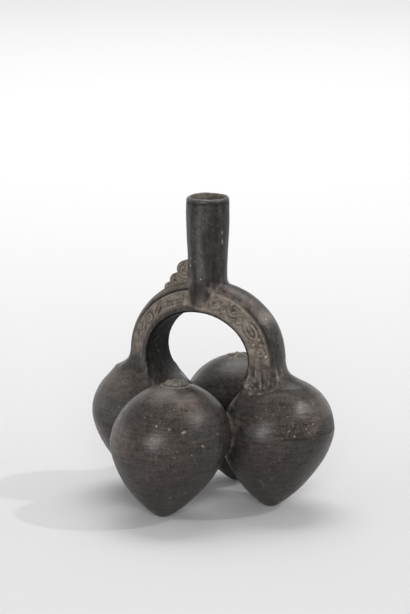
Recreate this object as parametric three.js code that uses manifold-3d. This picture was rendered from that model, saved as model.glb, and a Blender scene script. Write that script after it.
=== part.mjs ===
// A stirrup-spout bottle of burnished blackware: four hollow fruits, fired as one with an arched handle
// whose tube carries the spout. Lengths are millimetres and +Z is up. The stirrup stands in the XZ plane,
// the front fruit is on -Y, and the right fruit is on +X.
import * as THREE from 'three';
import { ParametricGeometry } from 'three/addons/geometries/ParametricGeometry.js';
import { mergeVertices } from 'three/addons/utils/BufferGeometryUtils.js';
import Module from 'manifold-3d';

const wasm = await Module();
wasm.setup();

// Whole vessel
const RIM_HEIGHT = 210;
const WALL = 4;

// Fruits: a domed crown over a body that narrows to a blunt tip
const FRUIT_SPREAD = 50.6;
const FRUIT_RADIUS = 38.9;
const FRUIT_CROWN = 37.1;
const FRUIT_DEPTH = 53;
const FOOT_RADIUS = 2.5;
const CROWN_POWER = 1.95;
const TIP_POWER = 1.59;
const TIP_FULLNESS = 0.765;
const TIP_WALL = 7;
const FRUIT_SIDES = 24;
const CAVITY_SIDES = 16;
const PASSAGE_RADIUS = 4.5;
const PASSAGE_LENGTH = 22;

// Each fruit was set by hand: its direction from the middle, its drift, its lean and its size
const FRUITS = [
  { name: 'front', toward: [0, -1], drift: [-0.5, -2.1], lean: [-0.079, -0.054], size: 1.038 },
  { name: 'right', toward: [1, 0], drift: [1.7, 1.5], lean: [-0.086, -0.01], size: 0.996 },
  { name: 'back', toward: [0, 1], drift: [-2, -1.7], lean: [-0.009, -0.014], size: 0.989 },
  { name: 'left', toward: [-1, 0], drift: [2.3, 2.9], lean: [0.051, 0.045], size: 0.988 },
];

// Stem scars on the crowns that carry no leg
const SCARRED = ['front', 'back'];
const SCAR_RADIUS = 10.4;
const SCAR_RISE = 1.9;
const SCAR_RING = 5;
const SCAR_SIDES = 12;

// Stirrup: an arch between two legs, with a tapering section
const SPRING = 100.5;
const INNER_HALF = 38.3;
const INNER_RISE = 31.8;
const OUTER_HALF = 57.3;
const OUTER_RISE = 51.8;
const SHOULDER_POWER = 2.06;
const SHOULDER_BIAS = 0.09;
const LEG_FOOT = 78;
const FLARE_TOP = 102;
const FLARE_FOOT = 86;
const FLARE_INNER = 34;
const FLARE_OUTER = 17;
const FLARE_SIDE = 45;
const ARCH_STEPS = 22;
const LEG_STEPS = 5;

// Stirrup section: depth is measured out from the inner face, half widths from the middle plane
const SECTION_DEPTH = 20;
const INNER_WIDTH = 13.6;
const PANEL_IN = { depth: 2, width: 16 };
const PANEL_OUT = { depth: 16, width: 10.2 };
const PANEL_SINK = 0.7;
const BORDER_IN = 0.22;
const BORDER_OUT = 0.84;
const BORDER_EASE = 0.05;
const GROOVE_WIDTH = 9;
const RIDGE_SHOULDER = { depth: 18.8, width: 7.2 };
const CHANNEL_STEPS = 12;

// Spout
const SPOUT_FOOT = 134;
const SPOUT_BASE_RADIUS = 13.3;
const SPOUT_RADIUS = 14.8;
const SWELL_HEIGHT = 198;
const LIP_RADIUS = 13.4;
const LIP_DROP = 3;
const MOUTH_RADIUS = 12.4;
const MOUTH_DROP = 8;
const BORE_RADIUS = 9.6;
const BORE_FOOT = 141;
const ROOT_FOOT = 137;
const ROOT_TOP = 152;
const ROOT_END = { across: 10.4, reach: 15.4 };
const ROOT_STEPS = 4;
const ROOT_SIDES = 16;
const SPOUT_SIDES = 24;
const BORE_SIDES = 16;

// Crest: a scalloped comb on the ridge, left of the spout, each lobe with a curl on both faces
const CREST_HALF = 4.5;
const LOBES = [
  { x: -15.9, z: 158, radius: 6.3 },
  { x: -23.1, z: 150.4, radius: 4.7 },
  { x: -28.5, z: 145.2, radius: 3.1 },
];
const LOBE_SIDES = 12;
const CURL_SHARE = 0.55;

// Relief strokes: raised bars, and slots that are cut in
const RAISED = { half: 1.2, rise: 0.9, root: 0.6 };
const CUT = { half: 0.8, rise: -0.9, root: -0.6 };
const BOSS_RADIUS = 1.7;
const BOSS_SIDES = 6;

// Relief is drawn flat: x runs along the arch from the right leg, y across to the groove
const DRAWING_RADIUS = 43.8;
const DRAWING_MIDDLE = 0.5;

// Front left panel: an end bar, a ring, and slots in pairs that lean more or less along the arch
const END_BAR = { x: 79.2, foot: -4, head: 3.4 };
const RING = { x: 110.6, y: 0.8, radius: 2.6 };
const SLOT_PAIRS = [
  { x: 83.6, y: -0.2, long: 5.2, gap: 2.2, lean: 0 },
  { x: 91.2, y: 0.2, long: 5.2, gap: 2.2, lean: 0.1 },
  { x: 101.4, y: 0.6, long: 5, gap: 3, lean: -0.6 },
  { x: 119.4, y: 0.6, long: 5, gap: 2.8, lean: -0.5 },
  { x: 128.4, y: 0.8, long: 5.6, gap: 3, lean: -0.15 },
];

// Front right panel: a vine from a spiral to a leaf, with curls in its bays, buds and a closing spiral
const VINE = { start: 54, period: 14, bays: 3, swing: 2.4, curl: 1.8, curlMiddle: -1.9 };
const SPIRAL = { x: 57.5, radius: 3.8 };
const LEAF = { x: 25.6, halfLong: 6, halfWide: 2.9 };
const BUDS = [[18, 2.2], [14.1, 2], [16, -2.6]];
const LAST_SPIRAL = { x: 8.8, radius: 3.1 };

// Back panels: lozenges with buds between them
const LOZENGE = { start: 12.2, pitch: 16, count: 3, halfLong: 4.4, halfWide: 3.1 };

const CLAY = { color: 0x2f2c2a, roughness: 0.5, metalness: 0 };

const radians = THREE.MathUtils.degToRad;

// Turns a closed three.js geometry into a solid whose faces point out
function solid(geometry) {
  const bare = geometry.index ? geometry.toNonIndexed() : geometry.clone();
  bare.deleteAttribute('normal');
  bare.deleteAttribute('uv');
  const merged = mergeVertices(bare, 1e-4);
  const points = merged.attributes.position.array;
  const corner = (i) => new THREE.Vector3().fromArray(points, 3 * i);
  const triangles = [];
  let volume = 0;
  for (let i = 0; i < merged.index.count; i += 3) {
    const [a, b, c] = [0, 1, 2].map((k) => merged.index.getX(i + k));
    if (a !== b && b !== c && c !== a) {
      triangles.push([a, b, c]);
      volume += corner(a).dot(corner(b).cross(corner(c)));
    }
  }
  const facing = volume > 0 ? triangles : triangles.map(([a, b, c]) => [a, c, b]);
  const mesh = new wasm.Mesh({
    numProp: 3,
    vertProperties: new Float32Array(points),
    triVerts: new Uint32Array(facing.flat()),
  });
  return new wasm.Manifold(mesh);
}

function joined(solids) {
  return solids.reduce((whole, one) => whole.add(one));
}

// Lathes a profile of [radius, height] pairs around the Z axis
function turned(profile, sides) {
  const points = profile.map(([radius, height]) => new THREE.Vector2(radius, height));
  return new THREE.LatheGeometry(points, sides).rotateX(Math.PI / 2);
}

// Skins a list of rings, each with the same number of points, and closes both ends to their middles
function skinned(rings) {
  const middle = (ring) => {
    const sum = ring.reduce((total, point) => total.add(point), new THREE.Vector3());
    return sum.divideScalar(ring.length);
  };
  const sides = rings[0].length;
  const first = Array(sides).fill(middle(rings[0]));
  const last = Array(sides).fill(middle(rings[rings.length - 1]));
  const rows = [first, ...rings, last];
  const place = (u, v, target) => {
    const row = rows[Math.round(v * (rows.length - 1))];
    target.copy(row[Math.round(u * sides) % sides]);
  };
  return new ParametricGeometry(place, sides, rows.length - 1);
}

// Skins a list of rings that runs back into itself
function looped(rings) {
  const sides = rings[0].length;
  const place = (u, v, target) => {
    const ring = rings[Math.round(v * rings.length) % rings.length];
    target.copy(ring[Math.round(u * sides) % sides]);
  };
  return new ParametricGeometry(place, sides, rings.length);
}

// The middle of a fruit at its equator
function fruitMiddle({ toward, drift }) {
  const x = toward[0] * FRUIT_SPREAD + drift[0];
  const y = toward[1] * FRUIT_SPREAD + drift[1];
  return new THREE.Vector3(x, y, FRUIT_DEPTH);
}

// Profile of a fruit or of its cavity, from the foot up, around its own equator
function fruitProfile(radius, crown, depth, foot, bodySteps, crownSteps) {
  const footShare = (1 - (foot / radius) ** (1 / TIP_FULLNESS)) ** (1 / TIP_POWER);
  const reach = depth / footShare;
  const profile = foot > 0 ? [[0, -depth]] : [];
  for (let i = bodySteps; i > 0; i -= 1) {
    const share = footShare * Math.sin((i / bodySteps) * (Math.PI / 2));
    profile.push([radius * (1 - share ** TIP_POWER) ** TIP_FULLNESS, -reach * share]);
  }
  for (let i = 0; i <= crownSteps; i += 1) {
    const share = Math.sin((i / crownSteps) * (Math.PI / 2));
    profile.push([radius * (1 - share ** CROWN_POWER) ** (1 / CROWN_POWER), crown * share]);
  }
  return profile;
}

// Leans a shape by its height below the equator and sets it on a fruit's middle
function setOnFruit(geometry, fruit) {
  const [leanX, leanY] = fruit.lean;
  const { x, y, z } = fruitMiddle(fruit);
  const lean = new THREE.Matrix4().set(1, 0, -leanX, x, 0, 1, -leanY, y, 0, 0, 1, z, 0, 0, 0, 1);
  return geometry.applyMatrix4(lean);
}

function fruitBody(fruit) {
  const radius = FRUIT_RADIUS * fruit.size;
  const crown = FRUIT_CROWN * fruit.size;
  const profile = fruitProfile(radius, crown, FRUIT_DEPTH, FOOT_RADIUS, 6, 5);
  return solid(setOnFruit(turned(profile, FRUIT_SIDES), fruit));
}

function fruitCavity(fruit) {
  const radius = FRUIT_RADIUS * fruit.size - WALL;
  const crown = FRUIT_CROWN * fruit.size - WALL;
  const profile = fruitProfile(radius, crown, FRUIT_DEPTH - TIP_WALL, 0, 4, 3);
  return solid(setOnFruit(turned(profile, CAVITY_SIDES), fruit));
}

// The hole through the wall that two neighbouring fruits share
function passage(one, other) {
  const from = fruitMiddle(one);
  const to = fruitMiddle(other);
  const along = to.clone().sub(from).normalize();
  const reach = FRUIT_RADIUS * one.size;
  const gap = from.distanceTo(to) - FRUIT_RADIUS * (one.size + other.size);
  const middle = from.clone().addScaledVector(along, reach + gap / 2);
  const hole = new THREE.CylinderGeometry(PASSAGE_RADIUS, PASSAGE_RADIUS, PASSAGE_LENGTH, 8);
  hole.applyQuaternion(new THREE.Quaternion().setFromUnitVectors(THREE.Object3D.DEFAULT_UP, along));
  return solid(hole.translate(middle.x, middle.y, middle.z));
}

// A low mound with a raised ring and a dimple, where the fruit's stem was
function stemScar(fruit) {
  const crown = FRUIT_CROWN * fruit.size;
  const profile = [
    [0, crown - SCAR_RISE * 3],
    [SCAR_RADIUS, crown - SCAR_RISE * 3],
    [SCAR_RADIUS * 0.92, crown - SCAR_RISE * 0.9],
    [SCAR_RING, crown + SCAR_RISE * 0.6],
    [SCAR_RING * 0.6, crown + SCAR_RISE * 0.5],
    [SCAR_RING * 0.3, crown - SCAR_RISE * 0.1],
    [0, crown - SCAR_RISE * 0.2],
  ];
  return solid(setOnFruit(turned(profile, SCAR_SIDES), fruit));
}

// A point of the stirrup's inner or outer curve, by the angle up from the right leg
function archPoint(angle, half, rise, power) {
  const across = Math.cos(angle);
  const up = Math.sin(angle);
  const x = half * Math.sign(across) * Math.abs(across) ** (2 / power);
  return new THREE.Vector3(x, 0, SPRING + rise * Math.abs(up) ** (2 / power));
}

// How far a leg has spread at a height, between the flare's start and its foot
function flare(height, radius) {
  const drop = FLARE_TOP - Math.min(Math.max(height, FLARE_FOOT), FLARE_TOP);
  return radius - Math.sqrt(radius * radius - drop * drop);
}

// Where the stirrup's section stands: its inner and outer ends, and how far its sides have spread
function archStation(angle) {
  const power = SHOULDER_POWER + SHOULDER_BIAS * Math.cos(angle);
  const inner = archPoint(angle, INNER_HALF, INNER_RISE, 2);
  const outer = archPoint(angle, OUTER_HALF, OUTER_RISE, power);
  return { inner, outer, spread: 0 };
}

function legStation(side, height) {
  const inner = new THREE.Vector3(side * (INNER_HALF - flare(height, FLARE_INNER)), 0, height);
  const outer = new THREE.Vector3(side * (OUTER_HALF + flare(height, FLARE_OUTER)), 0, height);
  return { inner, outer, spread: flare(height, FLARE_SIDE) };
}

function stirrupStations(archSteps, legSteps) {
  const heights = [];
  for (let i = 0; i < legSteps; i += 1) {
    heights.push(LEG_FOOT + (SPRING - LEG_FOOT) * (i / legSteps));
  }
  const right = heights.map((height) => legStation(1, height));
  const left = heights.map((height) => legStation(-1, height)).reverse();
  const arch = [];
  for (let i = 0; i <= archSteps; i += 1) {
    arch.push(archStation((Math.PI * i) / archSteps));
  }
  return [...right, ...arch, ...left];
}

// A point of the section, by its depth out from the inner face and its distance from the middle plane
function sectionPoint({ inner, outer, spread }, depth, width) {
  const point = inner.clone().lerp(outer, depth / SECTION_DEPTH);
  point.y = width + Math.sign(width) * spread;
  return point;
}

function panelLength() {
  return Math.hypot(PANEL_OUT.depth - PANEL_IN.depth, PANEL_OUT.width - PANEL_IN.width);
}

// A point across the panel, from 0 at its inner edge to 1 at the groove, sunk below its border
function panelCorner(across, sink) {
  const depthRun = PANEL_OUT.depth - PANEL_IN.depth;
  const widthRun = PANEL_OUT.width - PANEL_IN.width;
  const length = panelLength();
  const depth = PANEL_IN.depth + depthRun * across + (widthRun / length) * sink;
  const width = PANEL_IN.width + widthRun * across - (depthRun / length) * sink;
  return [depth, width];
}

// Mirrors half a section, given from the inner face to the ridge, into a whole loop
function wholeLoop(half) {
  const mirrored = half.map(([depth, width]) => [depth, -width]).reverse();
  return [[half[0][0], 0], ...half, [half[half.length - 1][0], 0], ...mirrored];
}

function stirrupBody() {
  const half = [
    [0, INNER_WIDTH * 0.5],
    [0.3, INNER_WIDTH],
    [0.9, PANEL_IN.width - 0.7],
    panelCorner(0.05, 0),
    panelCorner(BORDER_IN - BORDER_EASE, 0),
    panelCorner(BORDER_IN, PANEL_SINK),
    panelCorner(BORDER_OUT, PANEL_SINK),
    panelCorner(BORDER_OUT + BORDER_EASE, 0),
    panelCorner(1, 0),
    [PANEL_OUT.depth + 0.4, GROOVE_WIDTH],
    [RIDGE_SHOULDER.depth, RIDGE_SHOULDER.width],
    [SECTION_DEPTH, RIDGE_SHOULDER.width * 0.5],
  ];
  const loop = wholeLoop(half);
  const rings = stirrupStations(ARCH_STEPS, LEG_STEPS).map((station) =>
    loop.map(([depth, width]) => sectionPoint(station, depth, width)));
  return solid(skinned(rings));
}

function stirrupChannel() {
  const half = [
    [WALL, PANEL_IN.width - 1.4 * WALL],
    [PANEL_OUT.depth - 0.5 * WALL, PANEL_OUT.width - 1.3 * WALL],
    [SECTION_DEPTH - WALL, RIDGE_SHOULDER.width * 0.35],
  ];
  const loop = wholeLoop(half);
  const rings = stirrupStations(CHANNEL_STEPS, 2).map((station) =>
    loop.map(([depth, width]) => sectionPoint({ ...station, spread: 0 }, depth, width)));
  return solid(skinned(rings));
}

function spoutBody() {
  const profile = [
    [0, SPOUT_FOOT],
    [SPOUT_BASE_RADIUS - 0.5, SPOUT_FOOT],
    [SPOUT_BASE_RADIUS, SPOUT_FOOT + 20],
    [SPOUT_BASE_RADIUS + 0.1, SPOUT_FOOT + 29],
    [SPOUT_RADIUS - 0.4, SWELL_HEIGHT - 15],
    [SPOUT_RADIUS, SWELL_HEIGHT],
    [SPOUT_RADIUS - 0.1, RIM_HEIGHT - 2 * LIP_DROP],
    [SPOUT_RADIUS - 0.4, RIM_HEIGHT - LIP_DROP],
    [LIP_RADIUS + 0.8, RIM_HEIGHT - 0.8],
    [LIP_RADIUS, RIM_HEIGHT],
    [0, RIM_HEIGHT],
  ];
  return solid(turned(profile, SPOUT_SIDES));
}

function spoutBore() {
  const profile = [
    [0, BORE_FOOT],
    [BORE_RADIUS - 1, BORE_FOOT],
    [BORE_RADIUS, BORE_FOOT + 14],
    [BORE_RADIUS + 0.4, RIM_HEIGHT - MOUTH_DROP],
    [MOUTH_RADIUS, RIM_HEIGHT - 0.8],
    [LIP_RADIUS - 0.4, RIM_HEIGHT + 0.3],
    [0, RIM_HEIGHT + 0.3],
  ];
  return solid(turned(profile, BORE_SIDES));
}

// The spout's root: a rounded end that stands out of each face of the arch
function spoutRoot() {
  const rings = [];
  for (let i = 0; i <= ROOT_STEPS; i += 1) {
    const share = i / ROOT_STEPS;
    const halfAcross = THREE.MathUtils.lerp(ROOT_END.across, SPOUT_BASE_RADIUS - 0.2, share ** 0.7);
    const halfReach = THREE.MathUtils.lerp(ROOT_END.reach, SPOUT_BASE_RADIUS - 0.2, share);
    const height = THREE.MathUtils.lerp(ROOT_FOOT, ROOT_TOP, share);
    rings.push(ovalPath(halfAcross, halfReach, 0, ROOT_SIDES).map(([x, y]) =>
      new THREE.Vector3(x, y, height)));
  }
  return solid(skinned(rings));
}

// A stroke of relief: a low bar or a cutter along a flat route, with a frame for each of its points
function stroke(frameAt, route, closed = false, { half, rise, root } = RAISED) {
  const section = [[-half, -root], [0, rise], [half, -root]];
  const rings = route.map((spot, i) => {
    const before = closed ? route.at(i - 1) : route[Math.max(i - 1, 0)];
    const after = closed ? route[(i + 1) % route.length] : route[Math.min(i + 1, route.length - 1)];
    const run = Math.hypot(after[0] - before[0], after[1] - before[1]);
    const side = [-(after[1] - before[1]) / run, (after[0] - before[0]) / run];
    const frame = frameAt(spot);
    return section.map(([out, up]) =>
      new THREE.Vector3(side[0] * out, side[1] * out, up).applyMatrix4(frame));
  });
  return solid(closed ? looped(rings) : skinned(rings));
}

// A round boss of relief
function boss(frame) {
  const ring = (radius, height) => ovalPath(radius, radius, 0, BOSS_SIDES).map(([x, y]) =>
    new THREE.Vector3(x, y, height).applyMatrix4(frame));
  return solid(skinned([ring(BOSS_RADIUS, -RAISED.root), ring(BOSS_RADIUS * 0.5, RAISED.rise)]));
}

// Paths for the strokes, flat, around a middle of [0, 0]
function ovalPath(halfLong, halfWide, turn, steps) {
  const path = [];
  for (let i = 0; i < steps; i += 1) {
    const angle = (2 * Math.PI * i) / steps;
    const x = halfLong * Math.cos(angle);
    const y = halfWide * Math.sin(angle);
    path.push([x * Math.cos(turn) - y * Math.sin(turn), x * Math.sin(turn) + y * Math.cos(turn)]);
  }
  return path;
}

function hookPath(radius, start, sweep, shrink, steps) {
  const path = [];
  for (let i = 0; i <= steps; i += 1) {
    const share = i / steps;
    const angle = start + sweep * share;
    const reach = radius * (1 - shrink * share);
    path.push([reach * Math.cos(angle), reach * Math.sin(angle)]);
  }
  return path;
}

function shifted(path, x, y) {
  return path.map(([a, b]) => [a + x, b + y]);
}

// A frame on a panel's sunk floor: X runs along the arch to the left, Y across to the groove, Z out
function panelFrame(side, degrees, across) {
  const at = (angle, share) => {
    const [depth, width] = panelCorner(share, PANEL_SINK);
    return sectionPoint(archStation(radians(angle)), depth, side * width);
  };
  const middle = at(degrees, across);
  const along = at(degrees + 1, across).sub(at(degrees - 1, across)).normalize();
  const outward = at(degrees, across + 0.05).sub(at(degrees, across - 0.05));
  const toGroove = outward.addScaledVector(along, -outward.dot(along)).normalize();
  const normal = along.clone().cross(toGroove).multiplyScalar(side);
  const frame = new THREE.Matrix4().makeBasis(along, toGroove, normal);
  return frame.setPosition(middle);
}

// A frame at a point of the flat drawing
function drawingFrame(side, [x, y]) {
  const across = DRAWING_MIDDLE + y / panelLength();
  return panelFrame(side, THREE.MathUtils.radToDeg(x / DRAWING_RADIUS), across);
}

function carved(side, route, closed, form) {
  return stroke((spot) => drawingFrame(side, spot), route, closed, form);
}

function bud(side, spot) {
  return boss(drawingFrame(side, spot));
}

// What stands up in the front left panel
function ringRelief() {
  const ring = shifted(ovalPath(RING.radius, RING.radius, 0, 9), RING.x, RING.y);
  const bar = [[END_BAR.x, END_BAR.foot], [END_BAR.x, END_BAR.head]];
  return [carved(-1, ring, true), carved(-1, bar)];
}

// The slots of the front left panel, as cutters
function slotCutters() {
  const routes = [];
  for (const { x, y, long, gap, lean } of SLOT_PAIRS) {
    const along = [Math.cos(lean) * (long / 2), Math.sin(lean) * (long / 2)];
    const apart = [-Math.sin(lean) * (gap / 2), Math.cos(lean) * (gap / 2)];
    for (const side of [-1, 1]) {
      const middle = [x + side * apart[0], y + side * apart[1]];
      routes.push([-1, 1].map((end) => [middle[0] + end * along[0], middle[1] + end * along[1]]));
    }
  }
  return routes.map((route) => carved(-1, route, false, CUT));
}

function vineRelief() {
  const { start, period, bays, swing, curl, curlMiddle } = VINE;
  const stem = [];
  const stemSteps = 4 * bays;
  for (let i = 0; i <= stemSteps; i += 1) {
    const run = (period / 2) * bays * (i / stemSteps);
    stem.push([start - run, swing * Math.sin((2 * Math.PI * run) / period)]);
  }
  const curls = [];
  for (let i = 0; i < bays; i += 1) {
    const x = start - (period / 2) * (i + 0.5);
    const side = i % 2 ? -1 : 1;
    const turn = hookPath(curl, side * (Math.PI / 2), side * 3.8, 0.22, 5);
    curls.push(carved(-1, [[x, side * 2], ...shifted(turn, x, side * curlMiddle)]));
  }
  const leaf = ovalPath(LEAF.halfLong, LEAF.halfWide, 0, 12);
  const first = hookPath(SPIRAL.radius, Math.PI, 7.6, 0.62, 11);
  const last = hookPath(LAST_SPIRAL.radius, 0, 6, 0.5, 9);
  return [
    carved(-1, stem),
    ...curls,
    carved(-1, shifted(first, SPIRAL.x, 0)),
    carved(-1, shifted(leaf, LEAF.x, 0), true),
    carved(-1, [[LEAF.x - LEAF.halfLong / 2, 0], [LEAF.x + LEAF.halfLong / 2, 0]]),
    carved(-1, shifted(last, LAST_SPIRAL.x, 0)),
    ...BUDS.map((spot) => bud(-1, spot)),
  ];
}

function backRelief() {
  const strokes = [];
  const mirrored = (x) => Math.PI * DRAWING_RADIUS - x;
  for (let i = 0; i < LOZENGE.count; i += 1) {
    const x = LOZENGE.start + LOZENGE.pitch * i;
    const lozenge = ovalPath(LOZENGE.halfLong, LOZENGE.halfWide, 0, 4);
    for (const place of [(along) => along, mirrored]) {
      strokes.push(carved(1, shifted(lozenge, place(x), 0), true));
      strokes.push(bud(1, [place(x + LOZENGE.pitch / 2), 0]));
    }
  }
  return strokes;
}

// The crest's web, from the spout down to the ridge, with its lobes and their curls
function crestBody() {
  const outline = new THREE.Shape();
  outline.moveTo(-SPOUT_BASE_RADIUS + 3, LOBES[0].z + LOBES[0].radius * 0.9);
  LOBES.forEach(({ x, z }) => outline.lineTo(x, z));
  outline.lineTo(LOBES[2].x, LOBES[2].z - LOBES[2].radius * 2);
  outline.lineTo(-SPOUT_BASE_RADIUS + 3, SPOUT_FOOT + 14);
  const web = new THREE.ExtrudeGeometry(outline, { depth: 2 * CREST_HALF - 0.8, bevelEnabled: false });
  web.rotateX(Math.PI / 2).translate(0, CREST_HALF - 0.4, 0);
  const pieces = [solid(web)];
  LOBES.forEach(({ x, z, radius }) => {
    const lobe = new THREE.CylinderGeometry(radius, radius, 2 * CREST_HALF, LOBE_SIDES);
    pieces.push(solid(lobe.translate(x, 0, z)));
    for (const side of [-1, 1]) {
      const frameAt = ([along, across]) => {
        const frame = new THREE.Matrix4().makeRotationX((-side * Math.PI) / 2);
        frame.setPosition(x - radius * 0.2, side * CREST_HALF, z);
        return frame.multiply(new THREE.Matrix4().makeTranslation(along, across, 0));
      };
      pieces.push(stroke(frameAt, ovalPath(radius * CURL_SHARE, radius * CURL_SHARE, 0, 7), true));
    }
  });
  return joined(pieces);
}

function bottleSolid() {
  const bodies = FRUITS.map(fruitBody);
  const scars = FRUITS.filter(({ name }) => SCARRED.includes(name)).map(stemScar);
  const clay = joined([...bodies, ...scars, stirrupBody(), spoutBody(), spoutRoot(), crestBody()]);
  const relief = joined([...ringRelief(), ...vineRelief(), ...backRelief()]);
  const cavities = FRUITS.map(fruitCavity);
  const passages = FRUITS.map((fruit, i) => passage(fruit, FRUITS[(i + 1) % FRUITS.length]));
  const hollow = joined([...cavities, ...passages, stirrupChannel(), spoutBore()]);
  return clay.add(relief).subtract(joined(slotCutters())).subtract(hollow);
}

function meshOf(shape, name) {
  const { vertProperties, triVerts } = shape.getMesh();
  const geometry = new THREE.BufferGeometry();
  geometry.setAttribute('position', new THREE.BufferAttribute(vertProperties, 3));
  geometry.setIndex(new THREE.BufferAttribute(triVerts, 1));
  geometry.computeVertexNormals();
  const mesh = new THREE.Mesh(geometry, new THREE.MeshStandardMaterial(CLAY));
  mesh.name = name;
  return mesh;
}

// The vessel is moved so that the middle of its footprint is the origin
const bottle = new THREE.Group();
const body = meshOf(bottleSolid(), 'stirrup_bottle');
const box = new THREE.Box3().setFromObject(body);
const middle = box.getCenter(new THREE.Vector3());
body.position.set(-middle.x, -middle.y, -box.min.z);
bottle.add(body);

export default bottle;
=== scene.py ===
import math
from types import SimpleNamespace
from typing import NamedTuple

import bpy
import numpy as np
from bpy.props import FloatProperty, FloatVectorProperty, PointerProperty
from bpy.types import Operator, Panel, PropertyGroup
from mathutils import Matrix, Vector


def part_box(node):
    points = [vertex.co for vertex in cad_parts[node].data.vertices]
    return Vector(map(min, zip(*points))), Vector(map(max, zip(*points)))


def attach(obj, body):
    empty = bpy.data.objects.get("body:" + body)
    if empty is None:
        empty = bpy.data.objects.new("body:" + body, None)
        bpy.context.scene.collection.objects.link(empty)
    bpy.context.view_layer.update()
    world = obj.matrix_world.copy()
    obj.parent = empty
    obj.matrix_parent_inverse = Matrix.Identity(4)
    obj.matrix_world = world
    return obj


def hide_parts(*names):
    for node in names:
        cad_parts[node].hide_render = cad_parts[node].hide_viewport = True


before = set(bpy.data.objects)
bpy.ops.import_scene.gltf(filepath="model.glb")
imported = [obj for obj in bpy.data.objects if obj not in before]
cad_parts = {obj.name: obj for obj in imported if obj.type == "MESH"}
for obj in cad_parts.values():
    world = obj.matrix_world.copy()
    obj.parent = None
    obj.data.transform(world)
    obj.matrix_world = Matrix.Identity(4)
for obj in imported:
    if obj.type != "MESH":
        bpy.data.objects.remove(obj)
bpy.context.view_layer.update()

bl_info = {
    "name": "Stirrup-spout bottle",
    "version": (1, 0, 0),
    "blender": (4, 5, 0),
    "location": "View3D > Sidebar > Bottle",
    "description": "Makes a blackware bottle of four joined fruits under a carved stirrup handle",
    "category": "Object",
}

NODE = "stirrup_bottle"
BODY = "root"
PIECE = "blackware_bottle"

# Shape sizes are millimetres in the vessel's own frame, with +Z up and the spout's axis at X = Y = 0
MM = 0.001

# Fruits: a domed crown over a body that narrows to a blunt tip
FRUIT_SPREAD = 50.6
FRUIT_RADIUS = 38.9
FRUIT_CROWN = 37.1
FRUIT_DEPTH = 53.0
FOOT_RADIUS = 2.5
CROWN_POWER = 1.95
TIP_POWER = 1.59
TIP_FULLNESS = 0.765
TIP_WALL = 7.0
TIP_ROUND = 0.8
ROOM_ROUND = 1.0
EQUATOR_EASE = 0.06
PASSAGE_RADIUS = 4.5
PASSAGE_REACH = 11.0

# Stirrup: an arch on two legs that flare into the crowns
SPRING = 100.5
INNER_HALF = 38.3
INNER_RISE = 31.8
OUTER_HALF = 57.3
OUTER_RISE = 51.8
SHOULDER_POWER = 2.06
SHOULDER_BIAS = 0.09
LEG_FOOT = 78.0
LEG_ROUND = 1.0
FLARE_TOP = 102.0
FLARE_FOOT = 86.0
FLARE_INNER = 34.0
FLARE_OUTER = 17.0
FLARE_SIDE = 45.0

# Stirrup section: depth runs out from the inner face, width from the middle plane
SECTION_DEPTH = 20.0
PANEL_IN_DEPTH = 2.0
PANEL_IN_WIDTH = 16.0
PANEL_OUT_DEPTH = 16.0
PANEL_OUT_WIDTH = 10.2
PANEL_RUN = PANEL_OUT_DEPTH - PANEL_IN_DEPTH
PANEL_FALL = PANEL_IN_WIDTH - PANEL_OUT_WIDTH
PANEL_LENGTH = math.hypot(PANEL_RUN, PANEL_FALL)
RIDGE_CROWN = 0.03
EDGE_ROUND = 3.0
RIDGE_ROUND = 2.0

# Spout and mouth
RIM_HEIGHT = 210.0
SPOUT_FOOT = 134.0
SPOUT_BASE = 13.3
SPOUT_SWELL = 1.5
SWELL_START = 157.0
SWELL_TOP = 197.0
LIP_ROUND = 3.2
RIM_WAVE = 0.25
RIM_WAVE_LENGTH = 9.0
BORE_RADIUS = 9.7
BORE_FOOT = 141.0
MOUTH_START = 202.0
MOUTH_FLARE = 2.7
MOUTH_DEPTH = RIM_HEIGHT - MOUTH_START
MOUTH_ROUND = 0.9

# The spout's root: a rounded end that stands out of each face of the arch
ROOT_FOOT = 137.0
ROOT_TOP = 152.0
ROOT_ACROSS = 10.4
ROOT_REACH = 15.4
ROOT_POWER = 0.7
ROOT_ROUND = 1.5
ROOT_BLEND = 1.4

# Crest: a scalloped comb on the ridge, left of the spout
CREST_HALF = 4.5
CREST_ROUND = 2.0
CREST_ROOT = -9.0
CREST_RINGS = (0.36, 0.74)
CREST_STROKE_HALF = 0.7
CREST_STROKE_RISE = 0.45
CREST_SINK = 0.25
CREST_BLEND = 1.2
LOBE_BLEND = 1.5


class Fruit(NamedTuple):
    """One fruit: the way it lies from the middle, how far it was set off, how it leans, and its size."""

    toward: tuple
    drift: tuple
    lean: tuple
    size: float

    @property
    def middle(self):
        x = self.toward[0] * FRUIT_SPREAD + self.drift[0]
        y = self.toward[1] * FRUIT_SPREAD + self.drift[1]
        return np.array([x, y, FRUIT_DEPTH])

    @property
    def top(self):
        crown = FRUIT_CROWN * self.size
        x, y, z = self.middle
        return np.array([x - self.lean[0] * crown, y - self.lean[1] * crown, z + crown])


FRONT = Fruit((0, -1), (-0.5, -2.1), (-0.079, -0.054), 1.038)
RIGHT = Fruit((1, 0), (1.7, 1.5), (-0.086, -0.01), 0.996)
BACK = Fruit((0, 1), (-2.0, -1.7), (-0.009, -0.014), 0.989)
LEFT = Fruit((-1, 0), (2.3, 2.9), (0.051, 0.045), 0.988)
FRUITS = [FRONT, RIGHT, BACK, LEFT]


class Lobe(NamedTuple):
    """One scallop of the crest, in the stirrup's plane."""

    x: float
    z: float
    radius: float


LOBES = [Lobe(-15.9, 158.0, 6.3), Lobe(-23.1, 150.4, 4.7), Lobe(-28.5, 145.2, 3.1)]

# Relief is drawn flat, in millimetres: x runs along the arch from the right leg, y across to the groove
DRAWING_RADIUS = 43.8
DRAWING_MIDDLE = 0.5


class SlotPair(NamedTuple):
    """Two slots side by side in the drawing: their middle, length, gap and lean."""

    x: float
    y: float
    long: float
    gap: float
    lean: float


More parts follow.
